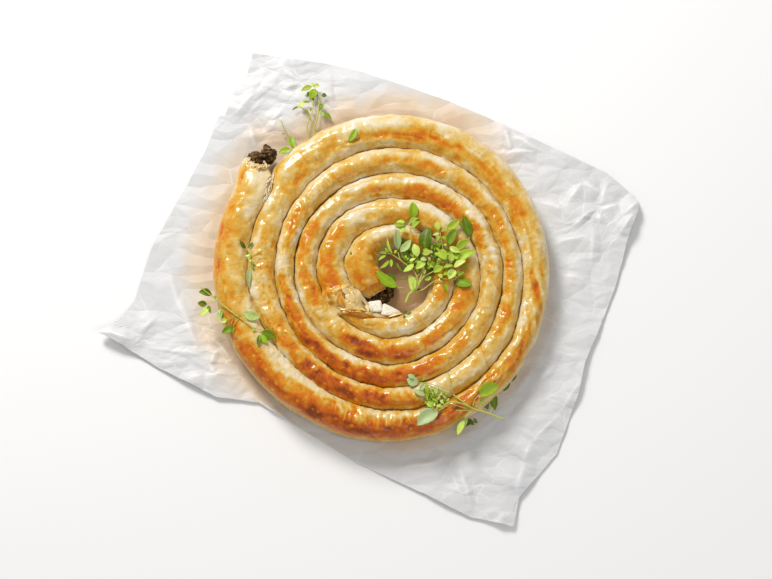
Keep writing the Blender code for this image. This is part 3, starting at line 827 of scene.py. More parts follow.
def with_pockets(grid, value=None):
    """Repeat a grid's end rows, or a value, for the rows of both pockets."""
    first = grid[:1] if value is None else np.full((1, grid.shape[1]), value)
    last = grid[-1:] if value is None else first
    return np.concatenate([np.repeat(first, deep, axis=0), grid, np.repeat(last, deep, axis=0)])


bake_and_painted_light = with_pockets(bake_and_painted_light, 0.12)
flaky = with_pockets(flaky, 0.8)
roll_along, roll_across = with_pockets(L), with_pockets(W)


def closed_tube(rings):
    """Points and faces of a tube through rings of points, closed by a pole at either end."""
    rings = np.asarray(rings)
    count, sides = rings.shape[:2]
    number = np.arange(count * sides).reshape(count, sides)
    faces = ring_quads(number) + pole_fan(count * sides, number[0])
    faces += [(last, b, a) for last, a, b in pole_fan(count * sides + 1, number[-1])]
    poles = [rings[0].mean(axis=0), rings[-1].mean(axis=0)]
    return np.concatenate([rings.reshape(-1, 3), poles]), faces


skin_points, skin_faces = closed_tube(skin)

# Filo baked with butter and egg: dry thin leaves under a thin shiny glaze that has soaked in
# unevenly. It goes from cream through amber to dark brown with the heat, and looks satin, with
# small sharp lights on the blisters and pleats. Its colour also holds painted shade, brown deep in
# the seams, and painted highlights, lighter tops on the blisters.
crust, tree, shader = new_material(
    "baked filo brushed with butter and egg",
    {"IOR": 1.45, "Specular IOR Level": 0.12, "Coat Weight": 0.7, "Coat Roughness": 0.15},
)
baked_and_painted_light, dry = (
    add_node(tree, "Attribute", attribute_name=name).outputs["Fac"] for name in ("bake_and_painted_light", "flaky")
)
# Along and across the rope in mm.
roll = add_node(tree, "Attribute", attribute_name="roll").outputs["Vector"]
# Mottled spots, 2 to 3 mm across.
mottled_at = add_node(tree, "Mapping", {"Vector": roll, "Scale": (0.42, 0.30, 1.0)})
mottle = add_node(
    tree, "TexNoise", {"Vector": mottled_at, "Scale": 1.0, "Detail": 4.0, "Roughness": 0.62}
)
# Fine pleats, 1.5 mm apart and about 8 mm long across the rope.
pleated_at = add_node(tree, "Mapping", {"Vector": roll, "Scale": (0.65, 0.12, 1.0)})
fine_pleats = add_node(
    tree, "TexNoise",
    {"Vector": pleated_at, "Scale": 1.0, "Detail": 3.0, "Roughness": 0.55, "Distortion": 0.6},
)
# Small blisters on the browned crust only, one in every 8 mm and up to 4 mm across. Like the large
# ones they are painted lighter on top: a painted highlight on each dome.
blistered_at = add_node(tree, "Mapping", {"Vector": roll, "Scale": (0.125, 0.125, 1.0)})
cells = add_node(
    tree, "TexVoronoi", {"Vector": blistered_at, "Scale": 1.0}, voronoi_dimensions="2D"
)
blister_size = add_node(
    tree, "Math", {0: cells.outputs["Color"], 1: 0.46, 2: -0.10}, operation="MULTIPLY_ADD"
)
within = add_node(tree, "Math", {0: blister_size, 1: cells}, operation="SUBTRACT")
dome = add_node(
    tree, "MapRange", {"Value": within, "From Min": 0.0, "From Max": 0.08},
    interpolation_type="SMOOTHSTEP",
)
hot = add_node(
    tree, "MapRange", {"Value": baked_and_painted_light, "From Min": 0.55, "From Max": 0.78},
    interpolation_type="SMOOTHSTEP",
)
blister = add_node(tree, "Math", {0: dome, 1: hot}, operation="MULTIPLY")
# The colour: how far the place is baked, mottled, streaked by the pleats, and painted lighter on
# blisters as painted highlights.
uneven = add_node(tree, "Math", {0: mottle, 1: 0.16, 2: baked_and_painted_light}, operation="MULTIPLY_ADD")
streaked = add_node(tree, "Math", {0: fine_pleats, 1: 0.12, 2: uneven}, operation="MULTIPLY_ADD")
centred = add_node(tree, "Math", {0: streaked, 1: 0.14}, operation="SUBTRACT")
with_painted_highlights = add_node(tree, "Math", {0: blister, 1: -0.20, 2: centred}, operation="MULTIPLY_ADD")
browned = add_node(
    tree, "ValToRGB", {"Fac": with_painted_highlights},
    stops=(
        (0.00, "#E6DCC6"), (0.20, "#E2CB9A"), (0.38, "#DAB560"), (0.54, "#D49B28"),
        (0.68, "#D38004"), (0.82, "#CA6200"), (0.93, "#AC4E00"), (1.00, "#8A3C00"),
    ),
)
# Dry flaky leaves are duller, and the glaze has soaked in more in some spots than in others.
dull = add_node(tree, "Math", {0: dry, 1: 0.30, 2: 0.14}, operation="MULTIPLY_ADD")
gloss = add_node(tree, "Math", {0: mottle, 1: 0.42, 2: dull}, operation="MULTIPLY_ADD")
grain = add_node(tree, "Math", {0: fine_pleats, 1: 0.7, 2: mottle}, operation="MULTIPLY_ADD")
blistered = add_node(tree, "Math", {0: blister, 1: 0.9, 2: grain}, operation="MULTIPLY_ADD")
rough = add_node(tree, "Bump", {"Height": blistered, "Strength": 0.45, "Distance": 0.0012})
set_inputs(shader, {"Base Color": browned, "Roughness": gloss, "Normal": rough})


def joined(parts):
    """One list of points and faces from several, with the corner numbers moved on."""
    points, faces, start = [], [], 0
    for part_points, part_faces in parts:
        points.append(part_points)
        faces += [tuple(start + corner for corner in face) for face in part_faces]
        start += len(part_points)
    return np.concatenate(points), faces


def unit_ball(rings, sides, open_pole):
    """Points of a ball of radius 1, ring by ring from below: (sin p cos r, sin p sin r, -cos p)
    for the angle p from the lower pole, which keeps open_pole off both poles, and r round it."""
    polar = np.linspace(open_pole, math.pi - open_pole, rings)
    polar, round_it = np.meshgrid(polar, np.arange(sides) / sides * 2 * math.pi, indexing="ij")
    level = np.sin(polar)
    return np.stack([level * np.cos(round_it), level * np.sin(round_it), -np.cos(polar)], axis=-1)


def lump(place, radii, rough, grain, seed):
    """A closed ball stretched to its three radii and roughened by noise of a grain in mm: each
    point's distance from the middle grows or shrinks by rough times the noise."""
    ball = unit_ball(30, 44, 0.06)
    x, y, z = (ball * radii / grain + 40).transpose(2, 0, 1)
    noise = layered_noise(x + 0.7 * z, y - 0.6 * z, seed)
    noise = noise + ridges(x * 1.7 - z, y * 1.7 + z, seed + 5) - 1.0
    points = np.asarray(place) + ball * radii * (1 + rough * noise[..., None])
    return closed_tube(points)


# Torn inner leaves hang out of the rope's inner side below the feta, as crumpled lumps: x and y
# from the coil's centre, height, and radii along X and Y and up.
TORN_LUMPS = (
    (-23, -30, 8.5, 6.5, 5.5, 10), (-16.5, -33.5, 5.5, 8, 6.5, 8), (-7, -38.8, 7.5, 9, 4.5, 8.6),
    (4.5, -39.6, 7, 8, 3.6, 8.4), (-22, -37.5, 9.5, 7, 5, 7.5),
)
LUMP_BAKE, LUMP_FLAKY = 0.20, 0.8  # of the lumps and of the poles that close the pockets
rope_parts = [(skin_points, skin_faces)]
for index, (x, y, z, *lump_radii) in enumerate(TORN_LUMPS):
    place = (CENTRE[0] + x, CENTRE[1] + y, z)
    lump_points, lump_faces = lump(place, lump_radii, 0.16, 3.0, 90 + index)
    lump_points[:, 2] = np.maximum(lump_points[:, 2], PIE_FOOT)
    rope_parts.append((lump_points, lump_faces))
rope_points, rope_faces = joined(rope_parts)
after_skin = len(rope_points) - bake_and_painted_light.size
rope = mesh_object("filo_rope", rope_points, rope_faces, crust)
store_values(rope, "bake_and_painted_light", np.concatenate([bake_and_painted_light.reshape(-1), np.full(after_skin, LUMP_BAKE)]))
store_values(rope, "flaky", np.concatenate([flaky.reshape(-1), np.full(after_skin, LUMP_FLAKY)]))
# The crust's patterns follow the rope, and on the lumps, which have no roll, their own places.
place_on_roll = np.stack([roll_along, roll_across, roll_along * 0], axis=-1).reshape(-1, 3)
place_on_roll = np.concatenate([place_on_roll, np.zeros((2, 3)), rope_points[len(skin_points):]])
store_values(rope, "roll", place_on_roll)
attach(rope, "root")
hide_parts("filo_pastry")

# ------------------------------------------------------------------------------
# The filling: chopped spinach and herbs, cooked down to a moist mass that runs through the whole
# rope. It has swelled out of both ends, where the oven has charred it nearly black with orange and
# dull green flecks.
# ------------------------------------------------------------------------------
FILLING_SHARE = 0.62  # of the rope's width and height
FILLING_SIDES = 12
# Lumps at the ends: x and y from the coil's centre, height, and radii along X and Y and up.
FILLING_LUMPS = (
    (-123.5, 107.5, 14, 6.6, 7, 8), (-111.5, 111.5, 14.5, 6.8, 7.2, 8),
    (-119.5, 100.5, 9, 7.5, 6, 7), (-114, 117.5, 19, 2.4, 2.4, 2.2), (-21.5, -16, 7, 6.5, 6.5, 7),
    (-16.5, -20, 6.5, 6.5, 5.5, 6.5), (-9.5, -19, 6, 6.5, 5.5, 6), (-4, -13.5, 5, 5, 6, 5),
    (-2.5, -7.5, 4.5, 4.5, 4.5, 4.5), (-14, -11, 7, 7, 6, 6.5),
)
CORE_STOPS = 16  # mm short of both ends, where the lumps take over

# The core is a tube of flattened rings along the rope's middle line, one for every third row.
stop_rows = int(CORE_STOPS / STEP_ALONG)
core_rows = slice(stop_rows, len(turns) - stop_rows, 3)
round_core = np.arange(FILLING_SIDES) / FILLING_SIDES * 2 * math.pi
core = np.empty((len(turns[core_rows]), FILLING_SIDES, 3))
core_side = FILLING_SHARE * np.cos(round_core)[None, :, None] * half[core_rows][:, None, :]
core[..., :2] = CENTRE + middle[core_rows][:, None, :] + core_side
core[..., 2] = height[core_rows][:, None] * (0.45 + 0.5 * FILLING_SHARE * np.sin(round_core))
filling_parts = [closed_tube(core)]
for index, (x, y, z, *radii_of_lump) in enumerate(FILLING_LUMPS):
    place = (CENTRE[0] + x, CENTRE[1] + y, z)
    filling_parts.append(lump(place, radii_of_lump, 0.34, 3.2, 110 + index))
filling_points, filling_faces = joined(filling_parts)
filling_points[:, 2] = np.maximum(filling_points[:, 2], PIE_FOOT)

# Spinach burnt by the oven: nearly black, moist enough to glint, with orange-brown and dull green
# bits of leaf and cheese, 3 mm across, showing through.
charred, tree, shader = new_material(
    "charred spinach filling", {"Roughness": 0.55, "IOR": 1.45, "Specular IOR Level": 0.45}
)
filling_at = add_node(tree, "TexCoord").outputs["Object"]
bits = add_node(
    tree, "TexNoise", {"Vector": filling_at, "Scale": 330.0, "Detail": 4.0, "Roughness": 0.7}
)
flecked = add_node(
    tree, "ValToRGB", {"Fac": bits},
    stops=(
        (0.30, "#120C06"), (0.44, "#1E1407"), (0.50, "#3E2C08"), (0.56, "#80600F"),
        (0.61, "#B85A14"), (0.66, "#5A5E22"), (0.74, "#B49A50"),
    ),
)
rough = add_node(tree, "Bump", {"Height": bits, "Strength": 0.8, "Distance": 0.0015})
set_inputs(shader, {"Base Color": flecked, "Normal": rough})
filling = mesh_object("chopped_spinach", filling_points, filling_faces, charred)
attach(filling, "root")
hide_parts("spinach_filling")

# ------------------------------------------------------------------------------
# The feta: two crumbs of white sheep's cheese in the tear beside the centre, broken off a block,
# so they have flat broken sides with rounded edges and a grainy, slightly yellowed surface.
# ------------------------------------------------------------------------------
FETA_ROUNDING = 8.0  # exponent of the crumb's outline: 2 is a ball, more is squarer


def crumb(place, radii, turned, tilt, taper, seed):
    """A closed crumb: a ball pushed out towards a box, as each point is divided by the 8th root of
    the sum of its coordinates' 8th powers. It is narrowed along X by taper, tilted, roughened by
    noise and turned about the vertical by an angle in degrees."""
    ball = unit_ball(34, 52, 0.05)
    boxy = (np.abs(ball) ** FETA_ROUNDING).sum(axis=-1) ** (-1 / FETA_ROUNDING)
    x, y, z = (ball * 3 + 40).transpose(2, 0, 1)
    noise = 0.8 * (layered_noise(x + 0.7 * z, y - 0.6 * z, seed) - 0.5)
    noise = noise + 0.3 * (layered_noise(3 * x - z, 3 * y + z, seed + 4) - 0.5)
    points = ball * (boxy * (1 + 0.20 * noise))[..., None] * radii
    points[..., 1] *= 1 - taper * (points[..., 0] / radii[0])
    points[..., 2] += tilt * points[..., 0]
    a = math.radians(turned)
    turned_x = points[..., 0] * math.cos(a) - points[..., 1] * math.sin(a)
    turned_y = points[..., 0] * math.sin(a) + points[..., 1] * math.cos(a)
    return closed_tube(np.asarray(place) + np.stack([turned_x, turned_y, points[..., 2]], axis=-1))


# Brined sheep's cheese: milky white, a little translucent and matt where it has broken. Its curd
# is finer than the 2.4 mm grains drawn here, which are as coarse as they need to be to show.
feta_white, tree, shader = new_material(
    "crumbly white feta",
    {
        "Roughness": 0.55, "Subsurface Weight": 0.1, "Subsurface Scale": 0.002,
        "Subsurface Radius": (1.0, 0.8, 0.55),
    },
)
cheese_at = add_node(tree, "TexCoord").outputs["Object"]
grains = add_node(
    tree, "TexNoise", {"Vector": cheese_at, "Scale": 420.0, "Detail": 4.0, "Roughness": 0.65}
)
creamy = add_node(
    tree, "ValToRGB", {"Fac": grains},
    stops=((0.28, "#DCCBA0"), (0.40, "#EFE6CC"), (0.55, "#F5F0DF"), (0.75, "#FAF7EC")),
)
rough = add_node(tree, "Bump", {"Height": grains, "Strength": 0.6, "Distance": 0.0012})
set_inputs(shader, {"Base Color": creamy, "Normal": rough})
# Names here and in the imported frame, x, y and height of the middle, half sizes, turn in degrees,
# tilt, taper and seed.
FETA = (
    ("feta_cube", "feta_1", (-15.5, -31.5, 18.8), (5.8, 5.4, 5.0), 6, 0.03, 0.03, 121),
    ("feta_wedge", "feta_2", (-1.5, -35.6, 17.6), (8.6, 4.0, 4.8), -14, -0.10, 0.55, 122),
)
for name, cad_name, (x, y, z), halves, turned, tilt, taper, seed in FETA:
    place = (CENTRE[0] + x, CENTRE[1] + y, z)
    crumb_points, crumb_faces = crumb(place, np.array(halves), turned, tilt, taper, seed)
    cheese = mesh_object(name, crumb_points, crumb_faces, feta_white)
    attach(cheese, "root")
    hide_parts(cad_name)

# ------------------------------------------------------------------------------
# The herbs: fresh young marjoram and thyme, cut and laid on after baking. A bunch lies over the
# open centre, and five loose sprigs and a single leaf lie round it. A stem is round and tapers,
# and a leaf is a thin blade, folded up along its middle and paler below than above.
# Places are in mm from the coil's centre.
# ------------------------------------------------------------------------------
CELL = 2.0  # mm, of the map of how high the crust and the paper stand
MAP_HALF = 280.0
BUNCH_FLOOR = 24.0  # the bunch's own stems hold it up over the open centre
EDGE_FLOOR = 27.0  # the two sprigs over the edges lie on the crust and stick out level
HANGING_FLOOR = 13.0  # leaves tucked against the pie's side, with their tips lower
HANGING_DROP = 3.5
HEART_LEAVES = 84
TIP_LEAVES = 44
LEAF_THICKNESS = 0.35
LEAF_ROWS, LEAF_HALF_COLUMNS = 11, 4
STEM_SIDES = 7

map_size = int(2 * MAP_HALF / CELL)
height_map = np.zeros((map_size, map_size))
resting = np.concatenate([paper_points, skin.reshape(-1, 3)])
cell_of = np.clip(((resting[:, :2] - CENTRE + MAP_HALF) / CELL).astype(int), 0, map_size - 1)
np.maximum.at(height_map, (cell_of[:, 0], cell_of[:, 1]), resting[:, 2])


def rest_height(x, y):
    """Height of the crust or paper below places, eased between the map's cells."""
    column, row = (x + MAP_HALF) / CELL - 0.5, (y + MAP_HALF) / CELL - 0.5
    i, j = np.floor(column).astype(int), np.floor(row).astype(int)
    fx, fy = column - i, row - j
    low = height_map[i, j] * (1 - fx) + height_map[i + 1, j] * fx
    high = height_map[i, j + 1] * (1 - fx) + height_map[i + 1, j + 1] * fx
    return low * (1 - fy) + high * fy


def leaf_blade(base, tip, wide, lift, arch, fold_up, floor, seed):
    """Points and faces of one closed leaf, and how far each point is from its middle line. Along
    its length t the half width is wide / 2 times sin(pi t^0.85) ^ 0.85, with slightly toothed
    edges. Its middle arches up by arch times its length and its sides fold up. It rests on what is
    below it, or hangs with its tip lower where the floor is HANGING_FLOOR."""
    draw = np.random.default_rng(seed)
    base, tip = np.asarray(base, float), np.asarray(tip, float)
    t = np.linspace(0.0, 1.0, LEAF_ROWS)[:, None]
    v = np.linspace(-1.0, 1.0, 2 * LEAF_HALF_COLUMNS + 1)[None, :]
    run = tip - base
    long = np.linalg.norm(run)
    side = np.array([-run[1], run[0]]) / long
    outline = 0.04 + 0.96 * np.sin(math.pi * t ** 0.85) ** 0.85
    toothed = 1 + 0.05 * np.sin(9 * math.pi * t + draw.uniform(0, 6)) * np.abs(v)
    bow = draw.uniform(-0.10, 0.10) * long * np.sin(math.pi * t)
    across = v * wide / 2 * outline * toothed + bow
    flat_leaf = base + t[..., None] * run + across[..., None] * side
    ends = rest_height(*np.stack([base, tip], axis=1))
    ends = np.maximum(ends, floor) + lift
    if floor == HANGING_FLOOR:
        ends = floor + lift + np.array([HANGING_DROP, -HANGING_DROP])
    z = ends[0] + (ends[1] - ends[0]) * t + arch * long * np.sin(math.pi * t)
    twist = draw.uniform(-0.25, 0.25)
    z = z + wide * (fold_up * np.abs(v) ** 1.4 + twist * v) * outline
    if floor != HANGING_FLOOR:
        z = np.maximum(z, rest_height(flat_leaf[..., 0], flat_leaf[..., 1]) + 0.3)
    upper = np.concatenate([flat_leaf + CENTRE, z[..., None]], axis=-1)
    lower = upper - np.array([0, 0, LEAF_THICKNESS])
    rows, columns = z.shape
    sheet = np.arange(rows * columns).reshape(rows, columns)
    quads = np.stack([sheet[:-1, :-1], sheet[1:, :-1], sheet[1:, 1:], sheet[:-1, 1:]], axis=-1)
    quads = quads.reshape(-1, 4)
    rim = np.concatenate([sheet[0, :-1], sheet[:-1, -1], sheet[-1, :0:-1], sheet[:0:-1, 0]])
    below = rows * columns
    after = np.roll(rim, -1)
    walls = np.stack([rim, after, after + below, rim + below], axis=-1)
    faces = np.concatenate([quads[:, ::-1], quads + below, walls[:, ::-1]])
    points = np.concatenate([upper.reshape(-1, 3), lower.reshape(-1, 3)])
    blade = np.broadcast_to(np.abs(v), (rows, columns)).reshape(-1)
    return points, faces.tolist(), np.tile(blade, 2)


def stem_tube(path, thick, lift, floor):
    """Points and faces of a closed round stem, the curve through a path's places, which tapers to
    70 % of its thickness and lies on what is below it."""
    path = np.asarray(path, float)
    keys = np.concatenate([[0], np.cumsum(np.linalg.norm(np.diff(path, axis=0), axis=1))])
    at = np.linspace(0, keys[-1], max(int(keys[-1] / 1.6), 4))
    line = curve_through(keys, path, at)
    z = np.maximum(rest_height(line[:, 0], line[:, 1]), floor)
    padded = np.pad(z, 3, mode="edge")
    z = np.maximum(np.convolve(padded, np.ones(7) / 7, mode="valid"), z) + lift + thick / 2
    spine = np.column_stack([line + CENTRE, z])
    ahead = np.gradient(spine, axis=0)
    ahead /= np.linalg.norm(ahead, axis=1, keepdims=True)
    beside = np.cross(ahead, [0, 0, 1.0])
    beside /= np.linalg.norm(beside, axis=1, keepdims=True)
    above = np.cross(beside, ahead)
    turn_round = np.arange(STEM_SIDES) / STEM_SIDES * 2 * math.pi
    radius = thick / 2 * np.linspace(1, 0.7, len(at))[:, None, None]
    ring = np.cos(turn_round)[None, :, None] * above[:, None]
    ring = ring + np.sin(turn_round)[None, :, None] * beside[:, None]
    return closed_tube(spine[:, None] + radius * ring)


# Leaves: x and y of the base and of the tip, width, shade from 0, dark, to 1, pale, and how far
# above the crust or the group's floor. A shade above 1 is the grey-green underside of a leaf. Low
# shades on leaves that lie beneath others or under the crust's edge are painted shade.
BUNCH_LEAVES = (
    (17.3, 46.7, 17.8, 61.8, 9, 0.5, 2), (10.7, 44.2, 3, 44.2, 4.5, 0.8, 3),
    (14, 42.4, 22.3, 46.4, 4, 0.8, 4), (16.4, 41.5, 24.1, 46.1, 5, 0.2, 2),
    (16.4, 37.1, 23.8, 43.9, 4, 0.75, 3), (10.4, 41.5, 0.6, 41.5, 4, 0.6, 2.5),
    (12.2, 36.5, 5.7, 34, 3.6, 0.75, 3), (4.3, 18.3, 3.2, 36.2, 6.8, 1.15, 5),
    (6.3, 16.2, 15.8, 26.6, 6.8, 1.1, 6), (9.2, 22.9, 9.8, 29.1, 4, 0.1, 2),
    (21.9, 10.9, 18.5, 22.6, 7, 0.95, 9), (28.3, 17.4, 31.9, 38.1, 11.5, 0.12, 4),
    (14.6, 8.8, 7.1, 16.2, 7, 0.25, 4), (25.9, 13.7, 34, 14.9, 4.5, 0.9, 8.5),
    (40.2, 35, 38.7, 42.7, 5.5, 0.8, 4), (42.6, 33.4, 46.5, 37.8, 2.2, 0.8, 4.5),
    (40.8, 32.2, 34.3, 31.3, 2.4, 0.9, 4.5), (40.2, 31, 38.4, 25.4, 3.6, 0.8, 4.5),
    (43.2, 29.1, 47.1, 26.6, 2.8, 0.5, 4), (47.4, 35.9, 59, 45.8, 7, 0.7, 3),
    (67.9, 30.3, 62.3, 49.5, 9.3, 0.15, 1.5), (48.9, 22, 56, 35.9, 8.5, 0.3, 3),
    (55.7, 17.4, 66.7, 26, 7, 0.7, 4), (49.8, 19.9, 59.3, 14.6, 5, 0.85, 5.5),
    (55.1, 5.7, 73.3, 16.8, 8.5, 0.65, 4.5), (54.5, 11.8, 63.5, 14.3, 5.5, 0.15, 2),
    (53.3, 2, 63.8, 6.9, 5.5, 0.95, 6.5), (36.6, 13.7, 42, 19.9, 6.5, 0.15, 2),
    (39.6, 14.9, 46.8, 8.1, 8, 0.7, 6.5), (50.4, 6.9, 52.1, 13.7, 5.5, 0.75, 7.5),
    (14.6, 7.5, 20, 10, 3, 0.95, 7), (28.6, 6.9, 20, 0.1, 6.5, 0.75, 7.5),
    (24.1, 8.8, 29.5, 7.5, 3.5, 1, 9.5), (18.2, 5, 9.2, -2, 5.3, 0.8, 6.5),
    (17.6, -19, 14, -3.6, 6.8, 0.9, 3.5), (3.9, -15, -14.3, -0.5, 9.5, 0.42, 2),
    (1.5, -11, -3.6, -1.7, 6, 0.05, 0.5), (-0.3, 14.3, -4.8, 27.9, 2.4, 0.7, 5),
    (-3.9, 15.5, -11.6, 16.2, 2.7, 0.45, 3.5), (-6, 13.4, -12.8, 8.8, 2.4, 0.75, 4),
    (-3.3, 9.4, -11.6, 2, 3, 0.6, 3), (-1.5, 10, -1.5, 2.6, 3, 0.7, 4),
    (-3.3, 16.2, -6.9, 20.5, 2.2, 0.55, 4.5), (1.5, 14.9, 3.3, 18.3, 2.4, 0.6, 5),
    (3.3, 7.5, 8.6, -1.1, 2, 0.25, 2), (43.2, 1.7, 35.5, -2.4, 6, 0.7, 6),
    (28.3, 2.9, 34, 0.7, 5, 0.1, 2), (33.7, 8.1, 36, 2.6, 4, 0.45, 4),
    (44.4, 1.3, 52.7, 3.8, 3, 0.8, 6.5), (55.1, -0.5, 48.6, -9.1, 7.5, 0.85, 5.5),
    (52.7, -1.1, 43.8, -5.4, 5, 0.5, 5), (55.1, -4.8, 62.6, -2.4, 4, 0.4, 3),
    (54.5, -9.8, 69.4, -13.5, 9.3, 0.3, 2), (39.6, -3.6, 42.9, -8.5, 3.8, 0.8, 4),
    (28, -8.5, 33.7, -5.4, 3.8, 0.6, 3), (44.4, -11.6, 48, -21.2, 2.3, 0.5, 1.5),
    (21.2, -16.9, 25.6, -17.8, 3, 0.1, 0.5), (8.6, -5.4, 11.6, -7.3, 2.5, 0.15, 1),
    (17.6, 13.1, 12.8, 24.2, 6, 0.05, 2), (36.6, 6.3, 39.6, 11.8, 5.5, 0.1, 2),
    (29.5, 10, 25.9, 14.9, 4, 0.15, 5), (47.4, 21.7, 44.4, 22.9, 2.2, 0.7, 5),
    (43.2, 22.3, 39, 23.2, 2, 0.5, 4), (33, 3.5, 26, 8.5, 5, 0.05, 1),
    (46, 4, 50, -1, 4.5, 0.15, 2.5), (57.5, 9, 52, 14.5, 5, 0.55, 5.5),
    (20, 5, 13.5, 9, 4, 0.12, 3), (60.5, 1.5, 66, 2.8, 3, 0.3, 3),
)
# The two sprigs on the paper behind the pie.
BEHIND_LEAVES = (
    (-72.1, 175.4, -81.6, 171.5, 4.5, 0.8, 5), (-69.5, 174.9, -72.8, 178.3, 3, 0.75, 6),
    (-69.5, 175.4, -65.2, 175.7, 3.5, 0.95, 6.5), (-69, 172.8, -73.6, 163.7, 8, 0.45, 5),
    (-70, 172.2, -67, 166.4, 4.5, 0.2, 4), (-74, 171, -76.5, 166, 3, 0.1, 4),
    (-71.5, 166, -70.5, 161.5, 2.6, 0.2, 4), (-63.4, 167.5, -58.8, 166.7, 3.5, 0.15, 4),
    (-73.6, 161, -80.3, 160.9, 2.2, 0.55, 5), (-79.9, 160.7, -83, 155.4, 4.5, 0.85, 5),
    (-84, 156.6, -89.5, 153.2, 1.6, 0.4, 4), (-78.2, 154.2, -73.9, 148.4, 2.2, 0.2, 4),
    (-72.6, 155.5, -72.8, 152.6, 2, 0.3, 4), (-65.5, 152.7, -61.9, 160, 4.2, 0.25, 4),
    (-64.4, 152.1, -61.2, 147.2, 4, 1.1, 4.5), (-61.4, 151.6, -54.5, 146, 4, 0.35, 3.5),
    (-90, 129.4, -85.9, 118, 7, 0.4, 4), (-90.6, 116.7, -100.7, 113.9, 7, 0.45, 8),
    (-88.4, 114.6, -93.6, 107.6, 3.2, 1.3, 5), (-95.6, 133, -98.4, 132, 1.6, 0.3, 3),
)
# The single leaf, the sprig in the groove and some crumbs of leaf.
LOOSE_LEAVES = (
    (-33, 129.7, -39.6, 118, 6, 0.5, 0.7), (-129.5, 20.4, -134.2, 26.5, 3.4, 0.1, 1.5),
    (-127.2, 21.4, -122.9, 25.5, 2.8, 0.25, 1.5), (-125.5, 14.5, -130, 13.3, 2.2, 0.9, 2),
    (-125.6, 13, -127.6, 9.8, 2.4, 0.95, 2), (-126, 10, -124.5, 7, 2.2, 0.8, 2),
    (-124.3, 6.9, -120.8, 4.6, 2.4, 0.15, 1.5), (-123.7, 4.5, -121.5, 0.5, 2, 0.2, 1.5),
    (-125.3, 2.8, -126.4, -15.2, 4.2, 1.25, 1), (9, -38.5, 12.6, -35, 2.6, 0.05, 0.6),
    (12, -39.5, 16, -37, 2, 0.2, 0.6), (10.5, -40.5, 9, -43.5, 1.8, 0.1, 0.6),
    (-37.5, 17.5, -36.5, 14, 1.6, 0.15, 0.5),
)
# The sprigs over the left and the front edge, whose stems hold the leaves up.
LEFT_LEAVES = (
    (-161.5, -22.5, -173.3, -19.5, 6.2, 0.25, -1), (-159.6, -26, -157.4, -22.9, 2.6, 0.3, 0),
    (-165.8, -30.6, -174.2, -29.6, 5.2, 0.2, -2), (-164.8, -33.4, -172, -40.8, 5.8, 0.95, -3),
    (-164.8, -31.3, -162.2, -38.7, 3.2, 0.3, -3), (-154, -34, -156, -46.2, 5, 1.1, -4),
    (-153.2, -36.5, -152.2, -43.5, 2.8, 0.3, -3), (-147.2, -45.5, -152.8, -47.6, 4, 0.85, -1.5),
    (-142.5, -50.9, -152, -57, 7.4, 0.28, -2), (-140.5, -52.5, -141.8, -58.5, 2.2, 0.4, 0),
    (-132.1, -40.5, -117.1, -43.2, 9, 1.05, 1.2), (-116.8, -57.7, -103.4, -62.4, 8.2, 0.28, 1.2),
    (-117.1, -59.7, -110.6, -68.5, 5.6, 0.55, 1.2), (-118.1, -60.4, -118.8, -71.3, 4, 0.12, 1),
    (-121.5, -54.8, -124.6, -56.6, 1.8, 0.55, 1.5),
)
FRONT_LEAVES = (
    (76.7, -115.8, 94.5, -107, 11.5, 0.62, 2), (63.2, -137.5, 57.4, -151, 5.6, 0.85, -3.5),
    (22.7, -105, 12.3, -101, 8.6, 1.2, 1.5), (19.5, -99.5, 13.2, -97.6, 4.6, 1.25, 1.5),
    (29.9, -106, 31.6, -118.4, 3.4, 0.45, 3), (28.4, -117, 17.8, -111.8, 5.4, 1.15, 2),
    (38.4, -109.6, 38.2, -115.8, 3.6, 1.05, 2.5), (35.8, -127.2, 29.6, -121.2, 4.6, 0.85, 2),
    (28, -106.5, 24, -112, 4.2, 1.15, 2.2), (33, -115, 36.4, -121, 3.2, 0.6, 2),
    (39.8, -130.9, 21, -143.4, 13, 1.3, 1), (33.5, -129, 24.8, -134, 6.5, 1.1, 0.6),
    (40, -122, 35, -119.5, 2.4, 0.6, 3), (42.5, -124, 38.5, -127.5, 2.2, 0.9, 3),
    (47.5, -120, 44, -116.5, 2, 0.85, 3), (45, -124, 41.5, -120, 2.2, 0.95, 3.2),
    (47, -121.5, 50.5, -118.5, 1.6, 0.75, 2.5), (43.8, -112.8, 46.2, -118.4, 1.6, 0.5, 2.5),
    (36, -121, 31, -125, 2.8, 0.4, 1.5), (40, -127.5, 42.5, -131, 2, 0.35, 1.5),
    (34, -112, 36, -118.5, 2, 0.55, 2), (26, -103, 28, -99.5, 1.6, 0.45, 2),
    (78, -121.5, 81.2, -118.8, 2.6, 0.4, 1), (79.2, -122.6, 79.4, -125.4, 2, 0.4, 1),
)
# Leaves of the front sprig that hang down the side of the crust. Their dark shades are painted
# shade under the crust's edge.
HANGING_LEAVES = (
    (67, -137.5, 53.5, -147, 7.8, 1.3, 6), (66, -137.5, 74, -140.5, 4.5, 0.05, 1),
    (70.5, -137.5, 64.8, -142.5, 4.4, 0.1, 1), (72.5, -136.5, 77, -139, 3.4, 0.15, 1),
    (89, -116.5, 93, -127, 7, 0.12, 1), (92, -115, 94.2, -121, 3.8, 0.18, 1.5),
    (83.2, -119.5, 86.5, -126.5, 5, 0.08, 1), (94.4, -112.5, 98.4, -110.4, 2.6, 0.1, 0),
    (106, -101, 101, -109.5, 4.8, 0.18, 0.5), (112.4, -94, 108.6, -100.5, 3.8, 0.08, 0.5),
)
